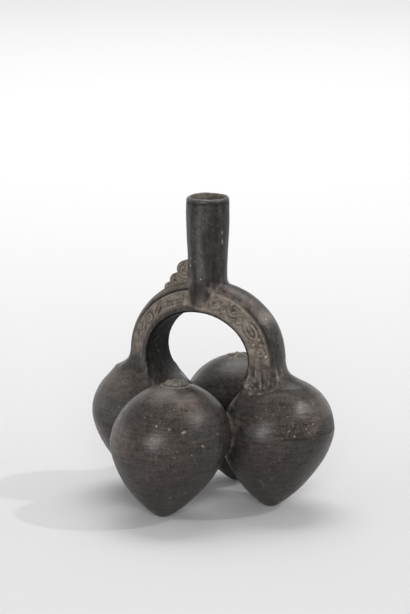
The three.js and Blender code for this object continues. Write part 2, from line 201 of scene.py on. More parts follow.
# Front left panel: an end bar, a ring with a dot, and slots in pairs that lean more or less along the arch
END_BAR = ((79.2, -5.0), (79.2, 3.4))
RING = (110.6, 0.8)
RING_RADIUS = 2.6
RING_DOT = 0.3
SLOT_HALF = 0.8
SLOT_DEPTH = 0.9
SLOT_PAIRS = [
    SlotPair(83.6, -0.2, 5.2, 2.2, 0),
    SlotPair(91.2, 0.2, 5.2, 2.2, 0.1),
    SlotPair(101.4, 0.6, 5, 3, -0.6),
    SlotPair(119.4, 0.6, 5, 2.8, -0.5),
    SlotPair(128.4, 0.8, 5.6, 3, -0.15),
]

# Front right panel: a vine from a spiral to a leaf, with curls in its bays, buds and a closing spiral
VINE_START = 54.0
VINE_PERIOD = 14.0
VINE_BAYS = 3
VINE_SWING = 2.4
CURL_RADIUS = 1.8
CURL_MIDDLE = -1.9
FIRST_SPIRAL = (57.5, 0.0)
FIRST_SPIRAL_RADIUS = 3.8
LAST_SPIRAL = (8.8, 0.0)
LAST_SPIRAL_RADIUS = 3.1
LEAF = (25.6, 0.0)
LEAF_LONG = 6.0
LEAF_WIDE = 2.9
BUDS = [(18.0, 2.2), (14.1, 2.0), (16.0, -2.6)]
BUD_RADIUS = 0.6

# Back panels: lozenges with buds between them
LOZENGE_START = 12.2
LOZENGE_PITCH = 16.0
LOZENGE_COUNT = 3
LOZENGE_LONG = 4.4
LOZENGE_WIDE = 3.1

# Lines that run the length of each panel, as shares across it, with their sizes in millimetres
FLOOR_LOW = 0.20
FLOOR_HIGH = 0.82
LOWER_HEM = 0.16
UPPER_HEM = 0.86
GROOVE = 0.96
GROOVE_HALF = 1.7
LOWER_HEM_HALF = 0.7
UPPER_HEM_HALF = 0.6
HEM_RISE = 0.35

# Where those lines, the panels and their dust start and end, as degrees up from the right leg
PANEL_RUN_ENDS = (3, 177)
UPPER_HEM_ENDS = (8, 152)
LOWER_HEM_ENDS = (104, 172)
GROOVE_ENDS = (6, 150)
SHALLOW_GROOVE_ENDS = (52, 88)
DUST_ENDS = (2, 184)

# How far from a stroke its distance is worked out, and what counts as far from every stroke
STROKE_REACH = 4.0
FAR = 9.0

# Stem scars on the crowns: a dome with petals inside a collar in front, and a star behind
PETALS = 5
COLLAR_RADIUS = 9.4
COLLAR_RISE = 0.5
DOME_RADIUS = 9.2
DOME_RISE = 2.1
STAR_RADIUS = 8.8
STAR_RISE = 0.9


class Spot(NamedTuple):
    """A mark on the surface: its place, its reach and its strength."""

    place: tuple
    reach: float
    strength: float = 1.0


# Brown firing clouds
BROWN_CLOUDS = [
    Spot((19, -68, 82), 16, 0.9),
    Spot((-20, -86, 56), 17, 0.7),
    Spot((48, -13, 90), 17, 0.45),
    Spot((54, -20, 82), 13, 0.4),
    Spot((36, -31, 64), 10, 0.9),
    Spot((86, -13, 64), 12, 0.9),
    Spot((84, 2, 77), 16, 0.5),
    Spot((-60, -23, 78), 17, 0.6),
    Spot((-3, 45, 89), 12, 0.8),
    Spot((3, -13, 139), 9, 0.7),
    Spot((44, -5, 135), 15, 0.6),
    Spot((19, -8, 146), 11, 1.0),
    Spot((33, -7, 141), 11, 1.0),
    Spot((-66, 26, 60), 18, 0.5),
    Spot((14, 80, 46), 20, 0.5),
    Spot((-46, 14, 92), 16, 0.7),
    Spot((-6, -64, 90), 18, 0.6),
]

# Chips that show pale clay
CHIPS = [
    Spot((49.8, -10.9, 106.5), 1.4, 1.25),
    Spot((-6.9, -11.6, 168.8), 0.75),
    Spot((-7.1, -11.3, 163.5), 0.85),
    Spot((1.8, -13.1, 155.4), 0.6),
    Spot((7.5, -86.0, 70.4), 1.2),
    Spot((14.6, -75.3, 80.2), 0.7),
    Spot((17.6, -58.2, 87.1), 0.7),
    Spot((-2.5, -83.8, 74.7), 0.7),
    Spot((20.4, -80.5, 70.7), 0.7),
    Spot((23.5, -80.7, 67.0), 0.9),
    Spot((34.3, -67.3, 66.5), 0.7),
    Spot((16.3, -84.0, 68.9), 0.8),
    Spot((86.3, -13.0, 65.1), 0.8),
    Spot((88.6, -8.9, 59.6), 0.8),
    Spot((77.6, -13.3, 77.7), 1.0),
    Spot((78.1, -15.6, 75.9), 0.9),
    Spot((75.5, -27.5, 62.3), 0.9),
    Spot((78.8, -25.7, 58.4), 1.0),
    Spot((84.0, -18.4, 62.7), 0.9),
    Spot((85.0, -17.7, 60.0), 0.8),
    Spot((46.8, -5.2, 131.1), 0.9),
    Spot((-72.0, 30.0, 66.0), 0.9),
    Spot((20.0, 82.0, 60.0), 1.0),
]

# Pale patches. Some are wear rubbed by handling, on the arch and at the spout's foot.
# The rest are painted: sheen over wear on the ridge's right shoulder, highlights on the right fruit's
# shoulder and right edge, and light on the upper fronts of the front and left fruits.
RUBBED_AND_SHEEN = [
    Spot((46, -2.5, 132), 8, 0.40),
    Spot((38, -4, 140), 9, 0.14),
    Spot((-9.5, -9.3, 152), 6, 0.16),
    Spot((8, -10.5, 148), 5, 0.14),
    Spot((-51, -4, 128), 9, 0.12),
    Spot((78, -14, 76.5), 6, 0.20),
    Spot((30, -5, 146), 8, 0.10),
    Spot((-8, -66, 88), 22, 0.04),
    Spot((-56, -20, 72), 26, 0.05),
    Spot((86, 6, 66), 22, 0.045),
]

# Scratches: from one end to the other, and how pale they are
SCRATCHES = [
    ((21.6, -82.3, 64.8), (25.6, -79.7, 68.0), 0.4),
    ((16.2, -84.4, 69.4), (16.2, -84.6, 66.0), 0.3),
    ((29.3, -77.5, 61.5), (34.8, -71.6, 56.9), 0.35),
    ((38.1, -59.0, 63.6), (38.2, -59.0, 59.6), 0.3),
    ((13.1, -5.1, 188.6), (13.1, -4.4, 179.6), 0.4),
    ((-37.4, -7.9, 107.2), (-36.9, -3.2, 109.0), 0.16),
    ((-38.0, -4.0, 104.2), (-38.0, 0.3, 98.3), 0.16),
]

# The worn lip's radius and lower edge, and the dark line under it
LIP_MIDDLE = 13.2
LIP_TOP = 208.0
LIP_LINE = 206.4

# The scuffed band round the right fruit: heights, degrees around its axis, and depth
BAND_LOW = 56.5
BAND_HIGH = 67.2
BAND_START = -60.0
BAND_END = 62.0
BAND_DEPTH = 0.22

# Half widths, rise and depths of the welts along the seams, the chips and the scratches
WELT_HALF = 1.1
WELT_RISE = 0.45
CHIP_DEPTH = 0.35
SCRATCH_DEPTH = 0.12
SCRATCH_HALF = 0.7

# The ledge where each leg's clay was smeared over its crown
LEDGE_MIDDLE = 47.5
LEDGE_HALF_X = 16.6
LEDGE_HALF_Y = 20.6
LEDGE_POWER = 2.6

# Layers painted on the mesh, three to a colour. Besides dust, wear and dark marks, they carry painted light:
# bounce light in the dust layer, shade in the dark layer, and sheen and highlights in the wear layer.
PAINTED = {"carving": ("dust_and_painted_light", "dark", "worn_and_painted_sheen"), "firing": ("brown", "scuff", "upright")}

# How black the stirrup and the spout are over the fruits' tone, from their dark streaks to their light ones
SOOTY = (1.0, 0.0)

# The burnish: the tint and index of its reflections, and the strength and depth in metres of its grain
GLOSS = (1, 0.95, 0.91, 1)
GLOSS_INDEX = 1.42
GRAIN_STRENGTH = 0.3
GRAIN_DEPTH = 0.0004

# The grid that the surface is found on reaches a little past the clay
GRID_LOW = (-91.7, -95.3, -1.3)
GRID_HIGH = (91.7, 95.3, RIM_HEIGHT)

# How long an edge may be where the clay is plain, and how many times too long before it is halved
LONGEST_EDGE = 9.0
EDGE_SLACK = 1.35

# Floor: how far it lies under the feet, in metres, and the sides of its rim
FLOOR_DROP = 0.0002
FLOOR_SIDES = 96

# Camera, as metres and pixels of a picture 410 wide and 614 high
PICTURE_HEIGHT = 614
FOCAL_PIXELS = 3200.0
EYE_DISTANCE = 2.1843
EYE_AZIMUTH = 27.90
EYE_TILT = 14.41
TARGET_HEIGHT = 0.06826
AIM_ACROSS = -2.81
AIM_UP = 93.02
SENSOR = 36.0

# The room's dim wall, as its azimuth and tilt in degrees, and where its dimness starts
DIM_WALL = (26.0, 22.0)
DIM_START = 0.75


class LampPlace(NamedTuple):
    """Where a lamp hangs, in degrees and metres from the bottle, and how wide its disk is."""

    azimuth: float
    tilt: float
    distance: float
    width: float


# Lamps, in degrees and metres
KEY_AZIMUTH = 113.0
KEY_TILT = 46.0
KEY_DISTANCE = 3.0
KEY_SOFTNESS = 2.0
FRONT_LAMP = LampPlace(-2.0, 18.0, 1.6, 0.5)
SIDE_LAMP = LampPlace(88.0, 46.0, 1.5, 0.35)
FILL_LAMP = LampPlace(EYE_AZIMUTH, 20.0, 2.5, 1.0)

# The lamp over the floor behind the bottle, in metres, and the spread of its light in degrees
WASH_DISTANCE = 1.6
WASH_HEIGHT = 2.6
WASH_WIDTH = 2.4
WASH_SPREAD = 120.0


# Settings that a user may change

def size_setting(name, description, default):
    return FloatProperty(name=name, description=description, default=default, unit="LENGTH")


def colour_setting(name, description, default):
    return FloatVectorProperty(name=name, description=description, default=default, subtype="COLOR")


def share_setting(name, description, default):
    return FloatProperty(name=name, description=description, default=default, min=0, max=1, subtype="FACTOR")


def lamp_setting(name, description, default):
    return FloatProperty(name=name, description=description, default=default, unit="POWER")


class BottleSizes(PropertyGroup):
    """Sizes of the clay and its carving."""

    wall: size_setting("Wall", "Thickness of the clay", 0.0046)
    seam_fillet: size_setting("Seam fillet", "Softness of the seams between the fruits", 0.0026)
    leg_fillet: size_setting("Leg fillet", "Softness where the legs meet the crowns", 0.0060)
    spout_fillet: size_setting("Spout fillet", "Softness where the spout meets the arch", 0.0028)
    panel_sink: size_setting("Panel sink", "Depth of the carved panels", 0.0008)
    stroke_rise: size_setting("Stroke rise", "Height of the carved strokes over the panel", 0.0011)
    stroke_half: size_setting("Stroke half width", "Half the width of a carved stroke", 0.00085)
    groove_depth: size_setting("Groove depth", "Depth of the groove under the ridge", 0.0015)
    net_step: size_setting("Net step", "Mesh size on the plain clay", 0.0023)
    fine_step: size_setting("Fine step", "Mesh size on the carving", 0.00057)


class BlackwareColours(PropertyGroup):
    """Colours and polish of the fired clay."""

    clay: colour_setting("Clay", "Burnished clay", (0.029, 0.0245, 0.0215))
    # Soot, also the colour of the painted shade in the carving's hollows and the seams
    soot_and_shade: colour_setting("Soot", "Darkest clay", (0.007, 0.0065, 0.006))
    brown: colour_setting("Firing cloud", "Brown clouds from the fire", (0.080, 0.060, 0.052))
    # Dust, also the colour of the painted light thrown up onto the lower fruits
    dust_and_painted_light: colour_setting("Dust", "Dust in the carving", (0.180, 0.154, 0.126))
    # Worn clay, also the colour of the painted sheen and highlights
    pale: colour_setting("Worn clay", "Worn edges and chips", (0.42, 0.38, 0.34))
    roughness: share_setting("Roughness", "Roughness of the burnish", 0.36)


class StudioSettings(PropertyGroup):
    """Floor and lights."""

    floor: colour_setting("Floor", "Pale floor", (0.685, 0.68, 0.685))
    floor_radius: size_setting("Floor radius", "Reach of the floor", 9.0)
    room_light: FloatProperty(
        name="Room light", description="Brightness of the white room overhead", default=0.40)
    horizon_light: FloatProperty(
        name="Horizon light", description="Brightness of the room low down", default=1.60)
    dim_share: share_setting("Dim share", "Share of the light that the dim front wall gives", 0.08)
    key_light: FloatProperty(
        name="Key light", description="Strength of the lamp on the right", default=0.54)
    front_light: lamp_setting("Front light", "Power of the soft lamp in front", 13.0)
    side_light: lamp_setting("Side light", "Power of the lamp on the right that gives the gloss", 7.0)
    fill_light: lamp_setting("Fill light", "Power of the wide lamp that lifts the shadows", 36.0)
    wash_light: lamp_setting("Wash light", "Power of the lamp over the floor behind", 34.0)


def setting_names(group):
    return [name for name in group.bl_rna.properties.keys() if name not in ("rna_type", "name")]


def clay_sizes(sizes):
    """The sizes of the clay in millimetres, under the names that they have in the settings."""
    return SimpleNamespace(**{name: getattr(sizes, name) / MM for name in setting_names(sizes)})


# Blending and easing

def smooth_min(a, b, blend):
    share = np.clip(0.5 + 0.5 * (b - a) / blend, 0, 1)
    return b + (a - b) * share - blend * share * (1 - share)


def smooth_max(a, b, blend):
    return -smooth_min(-a, -b, blend)


def ease(value, low, high):
    """Runs from 0 at low to 1 at high, level at both ends."""
    share = np.clip((value - low) / (high - low), 0, 1)
    return share * share * (3 - 2 * share)


def window(value, low, high, soft):
    """1 between low and high, easing to 0 outside them."""
    return ease(value, low - soft, low + soft) * (1 - ease(value, high - soft, high + soft))


def bead(distance, half):
    """A rounded section: 1 on its line and 0 at its foot."""
    return 1 - np.clip(np.abs(distance) / half, 0, 1) ** 2


def wobble(points, length, seed=0.0):
    """A slow irregular wave between about -1 and 1, as a hand leaves."""
    x, y, z = (points / length).T
    first = np.sin(1.7 * x + 0.9 * y + 2.1 + seed) + np.sin(1.3 * y - 1.1 * z + 0.7 * seed)
    second = np.sin(1.9 * z + 1.2 * x - 0.4 - seed) + np.sin(2.9 * x - 2.3 * y + 1.7 * z + seed)
    return (first + second) / 4


def distance_from(points, place):
    return np.linalg.norm(points - place, axis=1)


# Form of the vessel, as distances that are negative inside the clay

def fruit_frame(points, fruit):
    """Offsets from a fruit's leaning axis and the height over its equator."""
    x, y, z = points.T
    drop = FRUIT_DEPTH - z
    across = x - fruit.middle[0] - fruit.lean[0] * drop
    along = y - fruit.middle[1] - fruit.lean[1] * drop
    return across, along, -drop


def fruit_distance(points, fruit):
    across, along, up = fruit_frame(points, fruit)
    radius = FRUIT_RADIUS * fruit.size
    crown = FRUIT_CROWN * fruit.size
    reach = FRUIT_DEPTH / (1 - (FOOT_RADIUS / radius) ** (1 / TIP_FULLNESS)) ** (1 / TIP_POWER)
    out = np.maximum(np.hypot(across, along) / radius, 1e-3)
    rise = np.maximum(up, 0) / crown
    fall = np.hypot(np.minimum(up, 0) / reach, EQUATOR_EASE)
    crown_form = out ** CROWN_POWER + rise ** CROWN_POWER - 1
    crown_out = CROWN_POWER / radius * out ** (CROWN_POWER - 1)
    crown_up = CROWN_POWER / crown * rise ** (CROWN_POWER - 1)
    tip_form = out ** (1 / TIP_FULLNESS) + fall ** TIP_POWER - EQUATOR_EASE ** TIP_POWER - 1
    tip_out = out ** (1 / TIP_FULLNESS - 1) / (TIP_FULLNESS * radius)
    tip_up = TIP_POWER / reach * fall ** (TIP_POWER - 1)
    domed = crown_form / np.hypot(crown_out, crown_up)
    pointed = tip_form / np.hypot(tip_out, tip_up)
    distance = np.maximum(np.where(up > 0, domed, pointed), -radius)
    return smooth_max(distance, -points[:, 2], TIP_ROUND)


def flare(height, radius):
    drop = FLARE_TOP - np.clip(height, FLARE_FOOT, FLARE_TOP)
    return radius - np.sqrt(radius * radius - drop * drop)


def stirrup_place(points):
    """Share from the inner face to the ridge, angle up from the right leg, and spread of the legs."""
    x, _, z = points.T
    up = np.maximum(z - SPRING, 0)
    half_run = OUTER_HALF - INNER_HALF
    rise_run = OUTER_RISE - INNER_RISE
    share = np.full(len(points), 0.5)
    for _ in range(6):
        half = INNER_HALF + half_run * share
        rise = INNER_RISE + rise_run * share
        reach = np.maximum(np.hypot(x / half, up / rise), 1e-3)
        cos = x / half / reach
        sin = up / rise / reach
        power = SHOULDER_POWER + SHOULDER_BIAS * cos
        square = (np.abs(cos) ** power + sin ** power) ** (-1 / power) - 1
        slope = -(x * x * half_run / half ** 3 + up * up * rise_run / rise ** 3) / reach - square
        share = np.clip(share - (reach - 1 - share * square) / np.minimum(slope, -1e-3), -0.8, 2.5)
    inner = INNER_HALF - flare(z, FLARE_INNER)
    outer = OUTER_HALF + flare(z, FLARE_OUTER)
    below = z < SPRING
    share = np.where(below, (np.abs(x) - inner) / (outer - inner), share)
    angle = np.arctan2(sin, cos)
    drop = np.minimum(z - SPRING, 0) / INNER_HALF
    angle = np.degrees(np.where(x > 0, angle + drop, angle - drop))
    return share, angle, flare(z, FLARE_SIDE)


def panel_place(points, place):
    """Share across a panel from its inner edge to the groove, and the distance out of its plane."""
    share, _, spread = place
    depth = SECTION_DEPTH * share - PANEL_IN_DEPTH
    width = np.abs(points[:, 1]) - spread - PANEL_IN_WIDTH
    across = (depth * PANEL_RUN - width * PANEL_FALL) / PANEL_LENGTH ** 2
    out = (depth * PANEL_FALL + width * PANEL_RUN) / PANEL_LENGTH
    return across, out


def stirrup_distance(points):
    place = stirrup_place(points)
    depth = SECTION_DEPTH * place[0]
    _, panel = panel_place(points, place)
    ridge = depth - SECTION_DEPTH + RIDGE_CROWN * points[:, 1] ** 2
    section = smooth_max(smooth_max(-depth, panel, EDGE_ROUND), ridge, RIDGE_ROUND)
    return smooth_max(section, LEG_FOOT - points[:, 2], LEG_ROUND)


def spout_distance(points):
    x, y, z = points.T
    wall = np.hypot(x, y) - SPOUT_BASE - SPOUT_SWELL * ease(z, SWELL_START, SWELL_TOP)
    rim = z - RIM_HEIGHT - RIM_WAVE * wobble(points, RIM_WAVE_LENGTH)
    return np.maximum(smooth_max(wall, rim, LIP_ROUND), SPOUT_FOOT - z)


def root_distance(points):
    x, y, z = points.T
    share = np.clip((z - ROOT_FOOT) / (ROOT_TOP - ROOT_FOOT), 0, 1)
    half_x = ROOT_ACROSS + (SPOUT_BASE - ROOT_ACROSS) * share ** ROOT_POWER
    half_y = ROOT_REACH + (SPOUT_BASE - ROOT_REACH) * share
    ring = np.maximum(np.hypot(x / half_x, y / half_y), 1e-3)
    wall = ring * (ring - 1) / np.hypot(x / half_x ** 2, y / half_y ** 2).clip(1e-3)
    return smooth_max(wall, np.maximum(ROOT_FOOT - z, z - ROOT_TOP), ROOT_ROUND)


def crest_outline(points):
    """Distance to the crest's outline in the stirrup's plane."""
    x, _, z = points.T
    first, last = LOBES[0], LOBES[-1]
    run = np.array([last.x - first.x, last.z - first.z])
    normal = np.array([run[1], -run[0]]) / np.hypot(*run)
    chord = (x - first.x) * normal[0] + (z - first.z) * normal[1]
    sides = [chord, x - CREST_ROOT, SPOUT_FOOT - z, last.x - x, z - first.z - first.radius]
    outline = np.max(sides, axis=0)
    for lobe in LOBES:
        outline = smooth_min(outline, np.hypot(x - lobe.x, z - lobe.z) - lobe.radius, LOBE_BLEND)
    return outline


def crest_distance(points):
    return smooth_max(crest_outline(points), np.abs(points[:, 1]) - CREST_HALF, CREST_ROUND)


def neighbours():
    return [(i, (i + 1) % len(FRUITS)) for i in range(len(FRUITS))]


def cavity_distance(points, clay, fruits, stirrup):
    """The hollow: a room in each fruit, passages between them, the stirrup's channel and the bore."""
    x, y, z = points.T
    rooms = [smooth_max(distance + clay.wall, TIP_WALL - z, ROOM_ROUND) for distance in fruits]
    passages = []
    for i, j in neighbours():
        start, end = FRUITS[i].middle, FRUITS[j].middle
        along = (end - start) / np.linalg.norm(end - start)
        reach = (np.linalg.norm(end - start) + FRUIT_RADIUS * (FRUITS[i].size - FRUITS[j].size)) / 2
        offset = points - start - along * reach
        far = offset @ along
        rooms[i] = np.maximum(rooms[i], far + clay.wall / 2)
        rooms[j] = np.maximum(rooms[j], clay.wall / 2 - far)
        radial = np.sqrt(np.maximum((offset ** 2).sum(1) - far ** 2, 0))
        passages.append(np.maximum(radial - PASSAGE_RADIUS, np.abs(far) - PASSAGE_REACH))
    mouth = np.clip((z - MOUTH_START) / MOUTH_DEPTH, 0, 2)
    bore = np.maximum(np.hypot(x, y) - BORE_RADIUS - MOUTH_FLARE * mouth ** 2, BORE_FOOT - z)
    return np.min([bore, *rooms, *passages, stirrup + clay.wall], axis=0)


def bottle_distance(points, clay):
    fruits = [fruit_distance(points, fruit) for fruit in FRUITS]
    stirrup = stirrup_distance(points)
    outer = fruits[0]
    for distance in fruits[1:]:
        outer = smooth_min(outer, distance, clay.seam_fillet)
    outer = smooth_min(outer, stirrup, clay.leg_fillet)
    outer = smooth_min(outer, spout_distance(points), clay.spout_fillet)
    outer = smooth_min(outer, root_distance(points), ROOT_BLEND)
    outer = smooth_min(outer, crest_distance(points), CREST_BLEND)
    return smooth_max(outer, -cavity_distance(points, clay, fruits, stirrup), MOUTH_ROUND)


# Mesh of the clay's surface

def surface_net(field, low, high, step):
    """One point in every grid cell that the surface crosses, joined into quads."""
    axes = [np.arange(low[k], high[k] + step, step) for k in range(3)]
    grid = np.stack(np.meshgrid(*axes, indexing="ij"), -1)
    inside = (field(grid.reshape(-1, 3)) < 0).reshape(grid.shape[:3])
    cells = tuple(count - 1 for count in inside.shape)
    full = np.zeros(cells, int)
    for i, j, k in np.ndindex(2, 2, 2):
        full += inside[i:cells[0] + i, j:cells[1] + j, k:cells[2] + k]
    crossed = (full > 0) & (full < 8)
    number = np.full(cells, -1)
    number[crossed] = np.arange(crossed.sum())
    points = grid[:-1, :-1, :-1][crossed] + step / 2
    quads = []
    for axis in range(3):
        u, v = (axis + 1) % 3, (axis + 2) % 3
        count = inside.shape[axis]
        first = np.take(inside, range(count - 1), axis)
        second = np.take(inside, range(1, count), axis)
        edge = np.argwhere(first != second)
        ring = []
        for back_u, back_v in ((1, 1), (0, 1), (0, 0), (1, 0)):
            cell = edge.copy()
            cell[:, u] -= back_u
            cell[:, v] -= back_v
            ring.append(number[tuple(cell.T)])
        quad = np.stack(ring, 1)
        inward = second[tuple(edge.T)]
        quad[inward] = quad[inward][:, ::-1]
        quads.append(quad)
    return points, np.concatenate(quads)


def triangles(points, quads):
    """Splits each quad along its shorter diagonal."""
    a, b, c, d = (points[quads[:, k]] for k in range(4))
    short = np.linalg.norm(a - c, axis=1) < np.linalg.norm(b - d, axis=1)
    one = np.where(short[:, None], quads[:, [0, 1, 2]], quads[:, [0, 1, 3]])
    other = np.where(short[:, None], quads[:, [0, 2, 3]], quads[:, [1, 2, 3]])
    return np.concatenate([one, other])


def edge_list(faces):
    """The mesh's edges, and which three of them each face has."""
    pairs = np.sort(faces[:, [[0, 1], [1, 2], [2, 0]]].reshape(-1, 2), axis=1)
    count = faces.max() + 1
    keys, which = np.unique(pairs[:, 0] * count + pairs[:, 1], return_inverse=True)
    return np.stack([keys // count, keys % count], 1), which.reshape(-1, 3)


def gradient(field, points, step=0.05):
    parts = []
    for axis in range(3):
        offset = np.zeros(3)
        offset[axis] = step
        parts.append(field(points + offset) - field(points - offset))
    return np.stack(parts, 1) / (2 * step)


def onto_surface(field, points, longest, rounds):
    for _ in range(rounds):
        slope = gradient(field, points)
        steep = np.maximum((slope ** 2).sum(1), 0.05)
        move = -slope * (field(points) / steep)[:, None]
        length = np.maximum(np.linalg.norm(move, axis=1), 1e-9)
        points = points + move * np.minimum(1, longest / length)[:, None]
    return points


def relaxed(points, faces, share=0.5):
    """Moves each point towards the middle of its neighbours."""
    edges, _ = edge_list(faces)
    ends = np.concatenate([edges, edges[:, ::-1]])
    count = np.bincount(ends[:, 0], minlength=len(points))
    sums = [np.bincount(ends[:, 0], points[ends[:, 1], k], len(points)) for k in range(3)]
    return points + share * (np.stack(sums, 1) / count[:, None] - points)


def split_edges(points, faces, wanted):
    """Halves each edge that is longer than its place wants, and keeps the mesh whole."""
    edges, which = edge_list(faces)
    middle = points[edges].mean(1)
    length = np.linalg.norm(points[edges[:, 0]] - points[edges[:, 1]], axis=1)
    long = length > EDGE_SLACK * wanted(middle)
    count = 0
    while long.sum() != count:
        count = long.sum()
        long[which[long[which].sum(1) >= 2]] = True
    number = np.full(len(edges), -1)
    number[long] = len(points) + np.arange(count)
    cut = number[which]
    marks = (cut >= 0).sum(1)
    a, b, c = faces[marks == 3].T
    ab, bc, ca = cut[marks == 3].T
    parts = [faces[marks == 0]]
    parts += [np.stack(corners, 1) for corners in ((a, ab, ca), (ab, b, bc), (ca, bc, c), (ab, bc, ca))]
    for k in range(3):
        chosen = (marks == 1) & (cut[:, k] >= 0)
        start, end, apex = (faces[chosen][:, (k + turn) % 3] for turn in range(3))
        half = cut[chosen][:, k]
        parts += [np.stack([start, half, apex], 1), np.stack([half, end, apex], 1)]
    return np.concatenate([points, middle[long]]), np.concatenate(parts)


# Paths of the carved strokes, in the flat drawing

def oval(half_long, half_wide, steps=24):
    angle = np.linspace(0, 2 * np.pi, steps + 1)
    return np.stack([half_long * np.cos(angle), half_wide * np.sin(angle)], 1)


def dot(radius):
    return oval(radius, radius, 8)


def hook(radius, start, sweep, shrink, steps=20):
    share = np.linspace(0, 1, steps + 1)
    angle = start + sweep * share
    reach = radius * (1 - shrink * share)
    return np.stack([reach * np.cos(angle), reach * np.sin(angle)], 1)


def line(*corners):
    return np.array(corners, float)


def path_distance(places, path):
    """Distance of flat places from a path of straight runs."""
    nearest = np.full(len(places), np.inf)
    for start, end in zip(path[:-1], path[1:]):
        run = end - start
        share = np.clip((places - start) @ run / max(run @ run, 1e-9), 0, 1)
        offset = places - start - share[:, None] * run
        nearest = np.minimum(nearest, np.hypot(offset[:, 0], offset[:, 1]))
    return nearest


def ring_paths():
    """Strokes that stand up in the front left panel."""
    return [oval(RING_RADIUS, RING_RADIUS) + RING, dot(RING_DOT) + RING]


def slot_paths():
    """Slots cut in the front left panel."""
    paths = []
    for x, y, long, gap, lean in SLOT_PAIRS:
        along = np.array([math.cos(lean), math.sin(lean)]) * long / 2
        apart = np.array([-math.sin(lean), math.cos(lean)]) * gap / 2
        for middle in ((x, y) - apart, (x, y) + apart):
            paths.append(line(middle - along, middle + along))
    return paths


def vine_paths():
    """Strokes of the front right panel."""
    run = np.linspace(0, VINE_BAYS * VINE_PERIOD / 2, 40)
    paths = [np.stack([VINE_START - run, VINE_SWING * np.sin(2 * np.pi * run / VINE_PERIOD)], 1)]
    for i in range(VINE_BAYS):
        x = VINE_START - VINE_PERIOD / 2 * (i + 0.5)
        side = -1 if i % 2 else 1
        curl = hook(CURL_RADIUS, side * np.pi / 2, side * 3.8, 0.22) + (x, side * CURL_MIDDLE)
        paths.append(np.concatenate([[(x, 2.0 * side)], curl]))
    paths.append(hook(FIRST_SPIRAL_RADIUS, np.pi, 7.6, 0.62) + FIRST_SPIRAL)
    paths.append(oval(LEAF_LONG, LEAF_WIDE) + LEAF)
    paths.append(line((-LEAF_LONG / 2, 0), (LEAF_LONG / 2, 0)) + LEAF)
    paths.append(hook(LAST_SPIRAL_RADIUS, 0, 6, 0.5) + LAST_SPIRAL)
    paths += [dot(BUD_RADIUS) + bud for bud in BUDS]
    return paths


def back_paths():
    """Plainer strokes of the back panels: lozenges with buds between them, alike on both legs."""
    paths = []
    for x in LOZENGE_START + LOZENGE_PITCH * np.arange(LOZENGE_COUNT):
        lozenge = oval(LOZENGE_LONG, LOZENGE_WIDE, 4) + (x, 0)
        bud = dot(BUD_RADIUS) + (x + LOZENGE_PITCH / 2, 0)
        for path in (lozenge, bud):
            paths.append(path)
            paths.append(path * (-1, 1) + (np.pi * DRAWING_RADIUS, 0))
    return paths


def stroke_distance(angle, across, paths):
    """Distance from the nearest stroke, along the panel's own surface."""
    places = np.stack([np.radians(angle) * DRAWING_RADIUS, (across - DRAWING_MIDDLE) * PANEL_LENGTH], 1)
    nearest = np.full(len(angle), FAR)
    for path in paths:
        low, high = path.min(0) - STROKE_REACH, path.max(0) + STROKE_REACH
        close = ((places > low) & (places < high)).all(1)
        nearest[close] = np.minimum(nearest[close], path_distance(places[close], path))
    return nearest


# Carving and wear: how far the surface moves out, and how dusty, dark, worn, brown or scuffed it is, with
# painted shade in its hollows and painted light, sheen and highlights among its pale parts

class Finish:
    """How far the surface moves out at each point, and what it carries there."""

    def __init__(self, points):
        self.points = points
        self.height, self.dust_and_painted_light, self.dark, self.worn_and_painted_sheen = np.zeros((4, len(points)))
        self.brown, self.scuff, self.upright = np.zeros((3, len(points)))


def cover(layer, amount, near=slice(None)):
    """Brings a layer up to an amount wherever it has less."""
    layer[near] = np.maximum(layer[near], amount)


class Carving(NamedTuple):
    """The panels of one side: strokes that stand up, slots that are cut in, and bars as thin as the hems."""

    side: int
    strokes: list
    slots: list
    bars: list


def carve_panels(finish, clay):
    points = finish.points
    place = stirrup_place(points)
    share, angle, _ = place
    across, out = panel_place(points, place)
    clear = np.minimum(spout_distance(points), root_distance(points))
    near = (np.abs(out) < 2.5) & (share > -0.1) & (share < 1.1) & (angle > -18) & (angle < 198)
    near &= (clear > 0.2) & (crest_distance(points) > 0.2)
    front = Carving(-1, ring_paths() + vine_paths(), slot_paths(), [line(*END_BAR)])
    back = Carving(1, back_paths(), [], [])
    for carving in (front, back):
        here = near & (points[:, 1] * carving.side > 3)
        carve_panel(finish, clay, carving, here, across[here], angle[here], ease(clear[here], 0.4, 1.8))


def panel_line(across, place, half):
    """A rounded line along a panel, at a share across it."""
    return bead((across - place) * PANEL_LENGTH, half)


